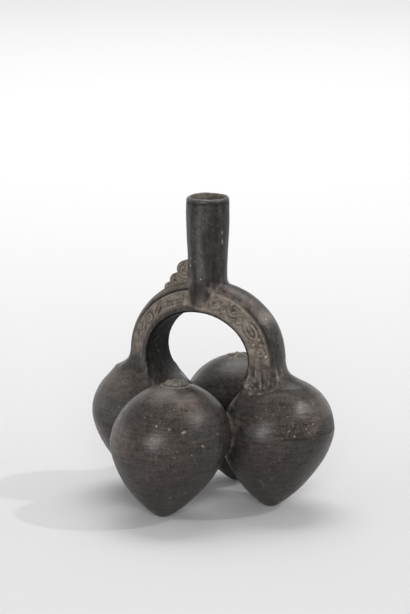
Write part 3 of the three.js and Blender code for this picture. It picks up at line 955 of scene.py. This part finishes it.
def carve_panel(finish, clay, carving, here, across, angle, clear):
    """The sunk floor and its strokes, the hems, the groove under the ridge, and the dust in them, with
    painted shade beside the strokes, in the slots and in the groove.
    """
    points = finish.points[here]
    end = window(angle, *PANEL_RUN_ENDS, 2.5) * clear
    floor = window(across, FLOOR_LOW, FLOOR_HIGH, 0.05) * end
    wear = 0.65 * wobble(points, 5.2) + 0.3 * wobble(points, 1.9, 0.6)
    rubbed = np.clip(0.72 + 1.2 * wear, 0.15, 1.1)
    strokes = stroke_distance(angle, across, carving.strokes)
    stroke = bead(strokes, clay.stroke_half) * floor * rubbed
    slots = stroke_distance(angle, across, carving.slots)
    slot = bead(slots, SLOT_HALF) * end * np.clip(rubbed, 0.45, 1)
    upper = panel_line(across, UPPER_HEM, UPPER_HEM_HALF) * window(angle, *UPPER_HEM_ENDS, 6) * end
    lower = panel_line(across, LOWER_HEM, LOWER_HEM_HALF) * window(angle, *LOWER_HEM_ENDS, 2) * end
    bars = stroke_distance(angle, across, carving.bars)
    lower = np.maximum(lower, bead(bars, LOWER_HEM_HALF) * end)
    narrow = GROOVE_HALF * (1 - 0.4 * ease(angle, 85, 100))
    shallow = 1 - 0.7 * window(angle, *SHALLOW_GROOVE_ENDS, 8)
    groove = panel_line(across, GROOVE, narrow) * window(angle, *GROOVE_ENDS, 10) * end * shallow
    grain = wobble(points, 0.9) * 0.15 * floor
    finish.height[here] += clay.stroke_rise * stroke - clay.panel_sink * floor + HEM_RISE * (upper + lower)
    finish.height[here] += grain - clay.groove_depth * groove - SLOT_DEPTH * slot
    # Painted shade beside the raised strokes, and in the groove and the slots
    shade_beside_strokes = np.exp(-((strokes - 1.6 * clay.stroke_half) / (0.8 * clay.stroke_half)) ** 2)
    cover(finish.dark, 0.65 * shade_beside_strokes * floor * rubbed, here)
    cover(finish.dark, np.maximum(0.6 * groove, 0.85 * slot), here)
    fade = window(angle + 4 * wobble(points, 2.5), *DUST_ENDS, 6) * clear
    inner_edge = 0.02 + 0.2 * ease(angle, 85, 105)
    cover(finish.dust_and_painted_light, window(across, inner_edge, 0.95, 0.06) * fade * (0.82 + 0.18 * stroke), here)
    bright = (0.12 + 0.14 * (1 - shallow)) * upper
    cover(finish.worn_and_painted_sheen, 0.10 * stroke ** 2 + bright + 0.12 * lower, here)


def darken_stirrup_and_dust_ridge(finish):
    """The stirrup's inner face made dark from its feet upwards, and dust on the left of its ridge."""
    points = finish.points
    share, angle, _ = stirrup_place(points)
    skin = np.abs(stirrup_distance(points) - 1) < 2.5
    height = points[:, 2] + 3 * wobble(points * (1, 1, 0.2), 1.2)
    cover(finish.dark, skin * (share < 0.06) * ease(height, 76, 92))
    ridge = skin * (points[:, 1] < 5) * window(share, 0.82, 1.3, 0.06) * window(angle, 100, 168, 10)
    cover(finish.dust_and_painted_light, 0.6 * ridge)


def carve_crest(finish):
    points = finish.points
    near = crest_distance(points) < 0.6
    x, y, z = points[near].T
    face = ease(np.abs(y), CREST_HALF - 1.4, CREST_HALF - 0.4)
    flat = np.stack([x, z], 1)
    strokes = np.full(len(flat), FAR)
    for lobe in LOBES:
        for share in CREST_RINGS:
            arc = hook(share * lobe.radius, 1.9, 3.4, 0) + (lobe.x, lobe.z)
            strokes = np.minimum(strokes, path_distance(flat, arc))
    half = CREST_STROKE_HALF
    stroke = bead(strokes, half)
    finish.height[near] += face * (CREST_STROKE_RISE * stroke - CREST_SINK)
    finish.height[near] += 0.10 * wobble(points[near], 0.8)
    # Painted shade beside the crest's strokes
    shade_beside_strokes = np.exp(-((strokes - 1.7 * half) / (0.8 * half)) ** 2)
    cover(finish.dark, 0.4 * face * shade_beside_strokes, near)
    cover(finish.dust_and_painted_light, 0.75 + 0.2 * stroke, near)
    cover(finish.worn_and_painted_sheen, 0.08 * stroke ** 2 * face, near)


def polar_on_crown(points, fruit):
    across, along, up = fruit_frame(points, fruit)
    near = (np.hypot(across, along) < 15) & (up > 0.7 * FRUIT_CROWN)
    return near, np.hypot(across, along)[near], np.arctan2(along, across)[near]


def carve_front_scar(finish):
    """The front fruit's calyx: a low dome with petals inside a thin collar."""
    points = finish.points
    near, reach, turn = polar_on_crown(points, FRONT)
    collar = bead(reach - COLLAR_RADIUS - 0.3 * wobble(points[near], 3), 0.7)
    dome = np.clip(1 - (reach / DOME_RADIUS) ** 2, 0, 1)
    petal = np.abs(np.sin(PETALS / 2 * turn + 0.22 * reach))
    rib = bead(petal, 0.36) * window(reach, 2.2, 7.6, 0.8)
    arc = bead(reach - 4.6 - 1.3 * petal, 0.55)
    finish.height[near] += COLLAR_RISE * collar + DOME_RISE * dome + 0.7 * rib
    finish.height[near] += 0.55 * arc - 1.1 * bead(reach, 1.6)
    cover(finish.dust_and_painted_light, 0.45 * window(reach, -1, 9.6, 0.8), near)
    # Painted shade in the crease inside the collar and in the pit at the middle
    cover(finish.dark, 0.7 * bead(reach - 8.2, 0.8) + 0.6 * bead(reach, 1.8), near)
    cover(finish.worn_and_painted_sheen, 0.26 * collar + 0.14 * rib + 0.18 * arc, near)


def carve_back_scar(finish):
    """The back fruit's calyx: a star of worn ridges."""
    points = finish.points
    near, reach, turn = polar_on_crown(points, BACK)
    rays = np.abs(np.sin(PETALS / 2 * turn + 0.6)) * reach
    ray = bead(rays, 2.1) * window(reach, 1.2, 8.2, 0.8)
    rim = bead(reach - STAR_RADIUS - 0.5 * wobble(points[near], 3), 0.8)
    finish.height[near] += STAR_RISE * ray + 0.4 * rim + 0.5 * np.clip(1 - (reach / 9) ** 2, 0, 1)
    cover(finish.dust_and_painted_light, 0.5 * window(reach, -1, 9.0, 1.0), near)
    # Painted shade in the hollows between the star's ridges
    cover(finish.dark, 0.5 * window(reach, 1.5, 8, 1) * (1 - ray), near)
    cover(finish.worn_and_painted_sheen, 0.3 * ray + 0.2 * rim, near)


def ledge_distance(points):
    """Distance out of the outline, in plan, of the clay smeared at each leg's foot."""
    x, y, _ = points.T
    across = np.abs(np.abs(x) - LEDGE_MIDDLE) / LEDGE_HALF_X
    along = np.abs(y) / LEDGE_HALF_Y
    reach = (across ** LEDGE_POWER + along ** LEDGE_POWER) ** (1 / LEDGE_POWER)
    return (reach - 1) * LEDGE_HALF_X


def smear_leg_feet(finish):
    """Ledges and upright scrapes where the legs' clay was smeared over the crowns."""
    points = finish.points
    x, y, z = points.T
    out = ledge_distance(points) + 0.5 * wobble(points, 1.6) + 0.7 * wobble(points, 7)
    leg = window(z, 72, 99, 3) * (np.abs(x) > 20) * (stirrup_distance(points) > -3)
    front = ease(-y, -2, 8) * (1 - ease(np.abs(x), 58, 64)) * np.where(x > 0, 1, 0.3)
    broken = (0.15 + 0.85 * ease(wobble(points, 1.8, 0.4), -0.3, 0.5)) * front
    step = ease(-out, -0.5, 0.2) * (1 - ease(-out, 0.4, 7))
    inside = leg * front * ease(-out, -1.5, 1.5)
    scrape = wobble(points * (1, 1, 0.2), 0.7) * wobble(points, 3.1, 2.0) * window(out, -16, -1, 1)
    finish.height += leg * ((0.1 + 0.35 * broken) * step + 0.25 * front * scrape)
    cover(finish.worn_and_painted_sheen, leg * broken * 0.3 * bead(out + 0.3, 0.55))
    cover(finish.worn_and_painted_sheen, inside * 0.3 * ease(-scrape, 0.08, 0.4))
    # Painted shade in a broken line under the ledge
    cover(finish.dark, leg * broken * 0.7 * bead(out - 0.9, 0.9))
    cover(finish.dark, inside * 0.75 * ease(scrape, 0.05, 0.35))
    cover(finish.brown, 0.45 * inside)
    cover(finish.upright, np.maximum(inside, window(z, 88, 400, 3)))


def lute_seams(finish):
    """A thin worn welt along the seams that join the fruits, with painted shade in the seams' crease."""
    points = finish.points
    gaps = [fruit_distance(points, fruit) for fruit in FRUITS]
    for i, j in neighbours():
        lean = gaps[j] - gaps[i]
        close = np.exp(-((gaps[i] + gaps[j]) / 3.0) ** 2)
        welt = bead(lean + 1.6 + 0.4 * wobble(points, 6), WELT_HALF) * close
        finish.height += WELT_RISE * welt
        cover(finish.worn_and_painted_sheen, 0.3 * welt * (0.7 + 0.3 * wobble(points, 2)))
        cover(finish.brown, 0.8 * welt)
        # Painted shade in the crease of the seam
        cover(finish.dark, 0.8 * bead(lean, 1.2) * close)


def scuff_band(finish):
    """A scraped band round the right fruit, with a hard lower edge."""
    points = finish.points
    across, along, _ = fruit_frame(points, RIGHT)
    z = points[:, 2] + 0.5 * wobble(points, 5)
    turn = np.degrees(np.arctan2(along, across))
    side = window(turn, BAND_START, BAND_END, 6) * (np.hypot(across, along) > 25)
    band = window(z, BAND_LOW, BAND_HIGH, 0.5) * side
    finish.height -= BAND_DEPTH * band
    cover(finish.scuff, band)
    cover(finish.dark, 0.7 * bead(z - BAND_LOW, 1.0) * side)
    cover(finish.worn_and_painted_sheen, 0.08 * bead(z - BAND_HIGH, 0.5) * side)


def mark_rim_and_spout(finish):
    """A worn lip, a dark line under it, a pale coat inside the mouth, and the spout's upright burnishing,
    with a painted highlight streak down its left and painted shade in a stripe on its right and at the front
    of its root.
    """
    points = finish.points
    x, y, z = points.T
    radius = np.hypot(x, y)
    spout = (radius < 17) & (z > 150)
    lip = bead(radius - LIP_MIDDLE, 1.4) * (z > LIP_TOP)
    inside = spout & (radius < 12.6) & (z > 190)
    # A pale coat inside the mouth that grows towards the lip
    cover(finish.dust_and_painted_light, inside * 0.4 * ease(z, 192, 204))
    under = bead(z - LIP_LINE - 0.4 * wobble(points, 7), 1.3) * (radius > 12.5)
    turn = np.arctan2(y, x)
    facet = np.sin(9 * turn + 0.5) + 0.6 * np.sin(14 * turn + 0.02 * z)
    outside = spout & (radius > 12)
    front = np.degrees(np.arctan2(x, -y)) + 5 * wobble(points * (1, 1, 0.3), 4)
    # A painted highlight streak down the spout's left, and painted shade in a stripe on its right and at the
    # front of its root
    streak = outside * bead(front - 2, 16) * window(z, 158, 194, 8)
    root_shade = (root_distance(points) < 1) * window(front, -30, 40, 10) * window(z, 138, 162, 6)
    shade_stripe = outside * window(front, 26, 58, 8) * window(z, 148, 200, 6)
    cover(finish.worn_and_painted_sheen, spout * 0.42 * lip * (0.6 + 0.4 * wobble(points, 3)))
    cover(finish.worn_and_painted_sheen, 0.09 * streak)
    cover(finish.dark, np.maximum(outside * 0.6 * under, 0.3 * shade_stripe + 0.4 * root_shade))
    finish.height += outside * ease(z, 156, 170) * (0.06 * facet - 0.15 * under)


def chip_and_scratch(finish):
    points = finish.points
    for chip in CHIPS:
        distance = distance_from(points, chip.place)
        pit = bead(distance, chip.reach)
        bare = 0.8 * ease(chip.reach - distance, 0, 0.6 * chip.reach)
        finish.height -= CHIP_DEPTH * pit
        cover(finish.worn_and_painted_sheen, chip.strength * bare)
    for start, end, pale in SCRATCHES:
        start, end = np.array(start), np.array(end)
        run = end - start
        share = np.clip((points - start) @ run / (run @ run), 0, 1)
        distance = np.linalg.norm(points - start - share[:, None] * run, axis=1)
        cut = bead(distance - 0.3 * np.sin(9 * share), SCRATCH_HALF) * (distance < 3)
        finish.height -= SCRATCH_DEPTH * cut
        cover(finish.worn_and_painted_sheen, pale * cut)


def blotch(points, spot, rag, wave, core):
    """How much a spot with a ragged edge marks each point; rag, wave and core are shares of its reach."""
    distance = distance_from(points, spot.place) + rag * spot.reach * wobble(points, wave * spot.reach)
    return spot.strength * (1 - ease(distance, core * spot.reach, spot.reach))


def finished_surface(points, clay):
    finish = Finish(points)
    finish.height += 0.22 * wobble(points, 11) + 0.10 * wobble(points, 5, 1.3)
    carve_panels(finish, clay)
    darken_stirrup_and_dust_ridge(finish)
    carve_crest(finish)
    carve_front_scar(finish)
    carve_back_scar(finish)
    smear_leg_feet(finish)
    lute_seams(finish)
    scuff_band(finish)
    mark_rim_and_spout(finish)
    chip_and_scratch(finish)
    # Pale patches: rubbed wear, with painted sheen, highlights and light among them
    for spot in RUBBED_AND_SHEEN:
        cover(finish.worn_and_painted_sheen, blotch(points, spot, 0.35, 0.3, 0.1))
    for spot in BROWN_CLOUDS:
        cover(finish.brown, blotch(points, spot, 0.25, 0.4, 0.2))
    # Dust haze on the crowns, and painted light thrown up from the floor: the fruits grow paler towards the
    # bottom
    crown_haze_and_bounce_light = (0.04 + 0.03 * wobble(points, 8)) * window(points[:, 2], 74, 92, 8) * (1 - finish.upright)
    crown_haze_and_bounce_light += 0.05 * (1 - ease(points[:, 2], 15, 50))
    cover(finish.dust_and_painted_light, crown_haze_and_bounce_light)
    finish.height *= ease(points[:, 2], 0, 6)
    return finish


def mesh_zones(points):
    """Places with a finer mesh, and how many fine steps long their edges may be; a later one counts."""
    x, y, z = points.T
    radius = np.hypot(x, y)
    place = stirrup_place(points)
    share, angle, _ = place
    across, out = panel_place(points, place)
    stirrup = stirrup_distance(points)
    arch = (stirrup > -1.5) & (share > -0.2) & (share < 1.2) & (z > 84)
    carved = arch & (across > -0.05) & (across < 1.25) & (np.abs(out) < 2.2)
    carved &= (angle > -3) & (angle < 183)
    belly = np.hypot(x - RIGHT.middle[0], y - RIGHT.middle[1]) > 35
    zones = [
        ((z > 150) & (radius > 11.2) & (radius < 16), 2.4),
        (arch, 2.0),
        (carved & (y < 0), 1.0),
        (carved & (y > 0), 1.3),
        ((crest_distance(points) < 0.8) & (crest_outline(points) > -14), 1.0),
        ((z > 202) & (radius < 16), 1.8),
    ]
    for fruit in (FRONT, BACK):
        scar = distance_from(points, fruit.top) < 12
        zones.append((scar & (z > fruit.top[2] - 3.4), 1.1))
    zones.append((belly & (z > BAND_LOW - 2) & (z < BAND_HIGH + 2) & (x > 70) & (y < 12), 2.0))
    ledge = (np.abs(ledge_distance(points)) < 2.6) & (z > 74) & (z < 92) & (y < 0)
    zones.append((ledge & (stirrup > -3), 1.4))
    for chip in CHIPS:
        zones.append((distance_from(points, chip.place) < chip.reach + 1, 1.0))
    for start, end, _ in SCRATCHES:
        middle = np.add(start, end) / 2
        half = np.linalg.norm(middle - start)
        zones.append((distance_from(points, middle) < half + 1.5, 1.3))
    return zones


def mesh_size(points, clay):
    """How long an edge may be at each place: short on the carving, long inside."""
    wanted = np.full(len(points), LONGEST_EDGE)
    for zone, steps in mesh_zones(points):
        wanted[zone] = steps * clay.fine_step
    return wanted


def clay_mesh(clay):
    """The vessel's surface, carved, in millimetres."""

    def field(points):
        return bottle_distance(points, clay)

    step = clay.net_step
    points, quads = surface_net(field, GRID_LOW, np.add(GRID_HIGH, step), step)
    points = onto_surface(field, points, step, 3)
    faces = triangles(points, quads)
    for _ in range(4):
        points = onto_surface(field, relaxed(points, faces), step, 1)
    for _ in range(3):
        before = len(points)
        points, faces = split_edges(points, faces, lambda places: mesh_size(places, clay))
        if len(points) == before:
            break
        points = onto_surface(field, relaxed(points, faces, 0.3), step, 1)
    points = onto_surface(field, points, step, 2)
    slope = gradient(field, points)
    normal = slope / np.linalg.norm(slope, axis=1, keepdims=True)
    finish = finished_surface(points, clay)
    return points + normal * finish.height[:, None], faces, finish


# Material

def feed(tree, socket, value):
    """Links a socket to another one, or sets its constant."""
    if isinstance(value, bpy.types.NodeSocket):
        tree.links.new(value, socket)
    else:
        socket.default_value = value


def add_node(tree, kind, inputs=None, **values):
    node = tree.nodes.new(kind)
    for name, value in values.items():
        setattr(node, name, value)
    for name, value in (inputs or {}).items():
        feed(tree, node.inputs[name], value)
    return node


def math_node(tree, operation, first, second):
    return add_node(tree, "ShaderNodeMath", {0: first, 1: second}, operation=operation).outputs[0]


def times(tree, first, second):
    return math_node(tree, "MULTIPLY", first, second)


def plus(tree, first, second):
    return math_node(tree, "ADD", first, second)


def most(tree, first, second):
    return math_node(tree, "MAXIMUM", first, second)


def ramp(tree, value, low, high, start=0.0, end=1.0):
    limits = {"Value": value, "From Min": low, "From Max": high, "To Min": start, "To Max": end}
    return add_node(tree, "ShaderNodeMapRange", limits).outputs[0]


def mix_colour(tree, share, first, second):
    return add_node(tree, "ShaderNodeMix", {0: share, 6: first, 7: second}, data_type="RGBA").outputs[2]


def noise(tree, where, scale, detail, stretch=(1, 1, 1), turn=(0, 0, 0)):
    """Noise with a scale along each of three turned axes, in turns per metre."""
    sizes = [1 / (scale * share) for share in stretch]
    placing = {"Vector": where, "Scale": sizes, "Rotation": turn}
    placed = add_node(tree, "ShaderNodeMapping", placing, vector_type="TEXTURE").outputs[0]
    look = {"Vector": placed, "Scale": 1.0, "Detail": detail}
    return add_node(tree, "ShaderNodeTexNoise", look).outputs[0]


def sum_of(tree, *shares):
    """Adds up noises, each spread out from 0 to its own share."""
    total = 0.0
    for value, share in shares:
        total = plus(tree, ramp(tree, value, 0.36, 0.64, 0, share), total)
    return total


def split(tree, colour):
    return add_node(tree, "ShaderNodeSeparateColor", {"Color": colour}).outputs


def scratches(tree, where):
    """Thin scratches that cross each other."""
    one = noise(tree, where, 60, 2, (1, 1, 16), (0.5, 0.3, 0))
    other = noise(tree, where, 60, 2, (1, 1, 16), (-0.6, 1.0, 0.4))
    return most(tree, ramp(tree, one, 0.68, 0.74), ramp(tree, other, 0.68, 0.74))


def specks(tree, where, scale, rarity, size):
    """Small round marks in some of the cells of a net."""
    cells = add_node(tree, "ShaderNodeTexVoronoi", {"Vector": where, "Scale": scale})
    chosen = ramp(tree, split(tree, cells.outputs["Color"])[0], rarity, rarity + 0.04)
    return times(tree, ramp(tree, cells.outputs["Distance"], size, 0.5 * size), chosen)


def opaque(colour):
    return (*colour, 1.0)


def painted_layers(tree):
    layers = SimpleNamespace()
    for name, parts in PAINTED.items():
        colour = add_node(tree, "ShaderNodeAttribute", attribute_name=name).outputs["Color"]
        for part, channel in zip(parts, split(tree, colour)):
            setattr(layers, part, channel)
    return layers


def clay_noises(tree, where, upright):
    """Noises from wide clouds to fine grain; streaks lie level, but stand on upright clay."""
    level = noise(tree, where, 60, 5, stretch=(1, 1, 8))
    standing = noise(tree, where, 45, 5, stretch=(9, 9, 0.9))
    return SimpleNamespace(
        clouds=noise(tree, where, 26, 4),
        standing=standing,
        streak=add_node(tree, "ShaderNodeMix", {0: upright, 2: level, 3: standing}).outputs[0],
        mottle=noise(tree, where, 230, 4),
        grain=noise(tree, where, 800, 3),
    )


def small_marks(tree, where, clouds):
    """Fine scratches, dots, and flecks in clouds."""
    cuts = times(tree, scratches(tree, where), 0.05)
    dots = times(tree, specks(tree, where, 210, 0.72, 0.16), 0.16)
    flecks = times(tree, specks(tree, where, 380, 0.5, 0.3), ramp(tree, clouds, 0.42, 0.6, 0, 0.09))
    return most(tree, flecks, most(tree, cuts, dots))


def clay_colour(tree, colours, layers, noises, tone, marks):
    """Clay from sooty to burnished, under coats of soot, firing clouds, scuffs, dust, wear and marks; the
    dust coat also paints bounce light, the dark coat paints shade, and the wear coat paints sheen and
    highlights.
    """
    mottle, grain = noises.mottle, noises.grain
    sooty = ramp(tree, sum_of(tree, (noises.standing, 0.7), (mottle, 0.3)), 0, 1, *SOOTY)
    patchy = sum_of(tree, (mottle, 0.4), (grain, 0.3), (noises.streak, 0.4))
    dusty = plus(tree, 0.25, sum_of(tree, (mottle, 0.4), (grain, 0.35)))
    coats = [
        (times(tree, layers.upright, sooty), colours.soot_and_shade),
        (times(tree, layers.brown, patchy), colours.brown),
        (times(tree, layers.scuff, ramp(tree, mottle, 0.56, 0.44, 0, 0.4)), colours.soot_and_shade),
        (times(tree, layers.scuff, ramp(tree, grain, 0.5, 0.66, 0, 0.5)), colours.brown),
        # Dust with painted bounce light, then painted shade and dark marks, then wear with painted sheen and
        # highlights
        (times(tree, layers.dust_and_painted_light, dusty), colours.dust_and_painted_light),
        # The dark layer in soot colour: painted shade in grooves, slots, creases, seams and beside strokes,
        # and some dark marks
        (layers.dark, colours.soot_and_shade),
        (times(tree, layers.worn_and_painted_sheen, ramp(tree, grain, 0.2, 0.7, 0.4, 1)), colours.pale),
        (times(tree, marks, ramp(tree, layers.dark, 0, 1, 1, 0.15)), colours.pale),
    ]
    base = mix_colour(tree, tone, opaque(colours.soot_and_shade), opaque(colours.clay))
    for share, colour in coats:
        base = mix_colour(tree, share, base, opaque(colour))
    return base


def new_material(name):
    material = bpy.data.materials.new(name)
    material.use_nodes = True
    return material


def set_shader(material, looks):
    tree = material.node_tree
    shader = tree.nodes["Principled BSDF"]
    for name, value in looks.items():
        feed(tree, shader.inputs[name], value)


def blackware_material(colours):
    material = new_material("burnished_blackware")
    tree = material.node_tree
    where = add_node(tree, "ShaderNodeTexCoord").outputs["Object"]
    layers = painted_layers(tree)
    noises = clay_noises(tree, where, layers.upright)
    streak, mottle, grain = noises.streak, noises.mottle, noises.grain
    tone = sum_of(tree, (noises.clouds, 0.28), (streak, 0.36), (mottle, 0.28), (grain, 0.42))
    marks = small_marks(tree, where, noises.clouds)
    scuffed = times(tree, layers.scuff, 0.5)
    matt = most(tree, most(tree, layers.dust_and_painted_light, scuffed), most(tree, layers.worn_and_painted_sheen, layers.dark))
    polish = plus(tree, colours.roughness - 0.1, sum_of(tree, (mottle, 0.12), (grain, 0.12)))
    shine = times(tree, ramp(tree, tone, 0.2, 1.0, 0.6, 1), ramp(tree, matt, 0, 1, 1, 0.08))
    relief = sum_of(tree, (streak, 0.6), (mottle, 0.25), (grain, 0.15))
    bumps = {"Height": relief, "Strength": GRAIN_STRENGTH, "Distance": GRAIN_DEPTH}
    set_shader(material, {
        "Base Color": clay_colour(tree, colours, layers, noises, tone, marks),
        "Roughness": plus(tree, polish, times(tree, matt, 0.3)),
        "Normal": add_node(tree, "ShaderNodeBump", bumps).outputs[0],
        "Specular Tint": mix_colour(tree, shine, (0, 0, 0, 1), GLOSS),
        "IOR": GLOSS_INDEX,
    })
    return material


def floor_material(settings):
    material = new_material("pale_floor")
    set_shader(material, {"Base Color": opaque(settings.floor), "Roughness": 0.9, "Specular IOR Level": 0.1})
    return material


# Scene pieces

def vessel_shift():
    """How far the vessel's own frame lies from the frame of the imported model, in metres."""
    _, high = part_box(NODE)
    right = RIGHT.middle[0] + FRUIT_RADIUS * RIGHT.size
    back = BACK.middle[1] + FRUIT_RADIUS * BACK.size
    return np.array([high.x - right * MM, high.y - back * MM, 0])


def paint(mesh, name, channels):
    layer = mesh.attributes.new(name, "FLOAT_COLOR", "POINT")
    values = np.ones((len(channels[0]), 4), np.float32)
    values[:, :3] = np.clip(np.stack(channels, 1), 0, 1)
    layer.data.foreach_set("color", values.ravel())


def mesh_object(name, points, faces):
    mesh = bpy.data.meshes.new(name)
    mesh.vertices.add(len(points))
    mesh.vertices.foreach_set("co", points.astype(np.float32).ravel())
    mesh.loops.add(3 * len(faces))
    mesh.loops.foreach_set("vertex_index", faces.astype(np.int32).ravel())
    mesh.polygons.add(len(faces))
    mesh.polygons.foreach_set("loop_start", np.arange(0, 3 * len(faces), 3, dtype=np.int32))
    mesh.update(calc_edges=True)
    mesh.validate()
    mesh.shade_smooth()
    piece = bpy.data.objects.new(name, mesh)
    bpy.context.scene.collection.objects.link(piece)
    return piece


class OBJECT_OT_make_stirrup_bottle(Operator):
    """Make the bottle's carved clay and put it in place of the plain solid"""

    bl_idname = "object.make_stirrup_bottle"
    bl_label = "Make bottle"

    def execute(self, context):
        points, faces, finish = clay_mesh(clay_sizes(context.scene.bottle_sizes))
        piece = mesh_object(PIECE, points * MM + vessel_shift(), faces)
        for name, layers in PAINTED.items():
            paint(piece.data, name, [getattr(finish, layer) for layer in layers])
        piece.data.materials.append(blackware_material(context.scene.blackware_colours))
        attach(piece, BODY)
        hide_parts(NODE)
        return {"FINISHED"}


def direction(azimuth, tilt):
    """The way towards a place seen at an azimuth and a tilt, in degrees."""
    turn, lift = math.radians(azimuth), math.radians(tilt)
    return Vector((math.sin(turn) * math.cos(lift), -math.cos(turn) * math.cos(lift), math.sin(lift)))


def lay_floor(settings):
    angles = np.linspace(0, 2 * np.pi, FLOOR_SIDES, endpoint=False)
    ring = np.stack([np.cos(angles), np.sin(angles), np.zeros(FLOOR_SIDES)], 1) * settings.floor_radius
    points = np.concatenate([[[0, 0, 0]], ring])
    corner = np.arange(FLOOR_SIDES)
    faces = np.stack([np.zeros(FLOOR_SIDES, int), corner + 1, (corner + 1) % FLOOR_SIDES + 1], 1)
    floor = mesh_object("floor", points, faces)
    floor.location.z = -FLOOR_DROP
    floor.data.materials.append(floor_material(settings))
    return floor


def make_room(settings):
    """A white room that glows more low down, with a dim wall in front of the bottle."""
    world = bpy.data.worlds.new("white_room")
    world.use_nodes = True
    tree = world.node_tree
    where = add_node(tree, "ShaderNodeTexCoord").outputs["Generated"]
    wall = {0: where, 1: direction(*DIM_WALL)}
    facing = add_node(tree, "ShaderNodeVectorMath", wall, operation="DOT_PRODUCT").outputs["Value"]
    height = add_node(tree, "ShaderNodeSeparateXYZ", {0: where}).outputs[2]
    glow = ramp(tree, height, 0, 0.5, settings.horizon_light, settings.room_light)
    strength = times(tree, glow, ramp(tree, facing, DIM_START, 1, 1, settings.dim_share))
    background = tree.nodes["Background"]
    background.inputs["Color"].default_value = (1, 0.995, 1, 1)
    tree.links.new(strength, background.inputs["Strength"])
    bpy.context.scene.world = world


def keep_off(lamp, floor):
    """Lets a lamp light everything but the floor."""
    shaded = bpy.data.collections.new(lamp.name + "_shaded")
    shaded.objects.link(floor)
    shaded.collection_objects[0].light_linking.link_state = "EXCLUDE"
    lamp.light_linking.receiver_collection = shaded


def add_lamp(name, kind, place, target, power):
    lamp = bpy.data.objects.new(name, bpy.data.lights.new(name, kind))
    lamp.location = place
    aim = target - place
    lamp.rotation_euler = aim.to_track_quat("-Z", "Y").to_euler()
    lamp.visible_camera = False
    lamp.data.energy = power
    bpy.context.scene.collection.objects.link(lamp)
    return lamp


def add_disk(name, place, target, power):
    away = direction(place.azimuth, place.tilt) * place.distance
    lamp = add_lamp(name, "AREA", away, target, power)
    lamp.data.shape = "DISK"
    lamp.data.size = place.width
    return lamp


def hang_lamps(settings, floor):
    middle = Vector((0, 0, TARGET_HEIGHT))
    overhead = direction(KEY_AZIMUTH, KEY_TILT) * KEY_DISTANCE
    key = add_lamp("key_lamp", "SUN", overhead, middle, settings.key_light)
    key.data.angle = math.radians(KEY_SOFTNESS)
    keep_off(add_disk("front_lamp", FRONT_LAMP, middle, settings.front_light), floor)
    keep_off(add_disk("side_lamp", SIDE_LAMP, middle, settings.side_light), floor)
    fill = add_disk("fill_lamp", FILL_LAMP, middle, settings.fill_light)
    fill.visible_glossy = False
    behind = direction(EYE_AZIMUTH + 180, 0) * WASH_DISTANCE
    above = behind + Vector((0, 0, WASH_HEIGHT))
    wash = add_lamp("wash_lamp", "AREA", above, behind, settings.wash_light)
    wash.data.shape = "DISK"
    wash.data.size = WASH_WIDTH
    wash.data.spread = math.radians(WASH_SPREAD)


def set_camera():
    data = bpy.data.cameras.new("camera")
    data.sensor_width = SENSOR
    data.lens = SENSOR * FOCAL_PIXELS / PICTURE_HEIGHT
    camera = bpy.data.objects.new("camera", data)
    toward = direction(EYE_AZIMUTH, EYE_TILT)
    right = Vector((0, 0, 1)).cross(toward).normalized()
    up = toward.cross(right)
    camera.location = Vector(vessel_shift()) + Vector((0, 0, TARGET_HEIGHT)) + toward * EYE_DISTANCE
    aim = right * AIM_ACROSS + up * AIM_UP - toward * FOCAL_PIXELS
    camera.rotation_euler = aim.to_track_quat("-Z", "Y").to_euler()
    bpy.context.scene.collection.objects.link(camera)
    bpy.context.scene.camera = camera


class SCENE_OT_set_studio(Operator):
    """Lay the pale floor and set the lamps and the camera"""

    bl_idname = "scene.set_studio"
    bl_label = "Set studio"

    def execute(self, context):
        settings = context.scene.studio_settings
        make_room(settings)
        hang_lamps(settings, lay_floor(settings))
        set_camera()
        context.scene.view_settings.view_transform = "Standard"
        return {"FINISHED"}


class VIEW3D_PT_stirrup_bottle(Panel):
    """Buttons and values of the bottle"""

    bl_label = "Stirrup-spout bottle"
    bl_space_type = "VIEW_3D"
    bl_region_type = "UI"
    bl_category = "Bottle"

    def draw(self, context):
        scene = context.scene
        for operator, groups in (
            (SCENE_OT_set_studio, [scene.studio_settings]),
            (OBJECT_OT_make_stirrup_bottle, [scene.bottle_sizes, scene.blackware_colours]),
        ):
            self.layout.operator(operator.bl_idname)
            for group in groups:
                for name in setting_names(group):
                    self.layout.prop(group, name)


CLASSES = (
    BottleSizes,
    BlackwareColours,
    StudioSettings,
    OBJECT_OT_make_stirrup_bottle,
    SCENE_OT_set_studio,
    VIEW3D_PT_stirrup_bottle,
)


def register():
    for one in CLASSES:
        bpy.utils.register_class(one)
    bpy.types.Scene.bottle_sizes = PointerProperty(type=BottleSizes)
    bpy.types.Scene.blackware_colours = PointerProperty(type=BlackwareColours)
    bpy.types.Scene.studio_settings = PointerProperty(type=StudioSettings)


def unregister():
    del bpy.types.Scene.studio_settings
    del bpy.types.Scene.blackware_colours
    del bpy.types.Scene.bottle_sizes
    for one in reversed(CLASSES):
        bpy.utils.unregister_class(one)


def main():
    register()
    bpy.ops.scene.set_studio()
    bpy.ops.object.make_stirrup_bottle()


if __name__ == "__main__":
    main()
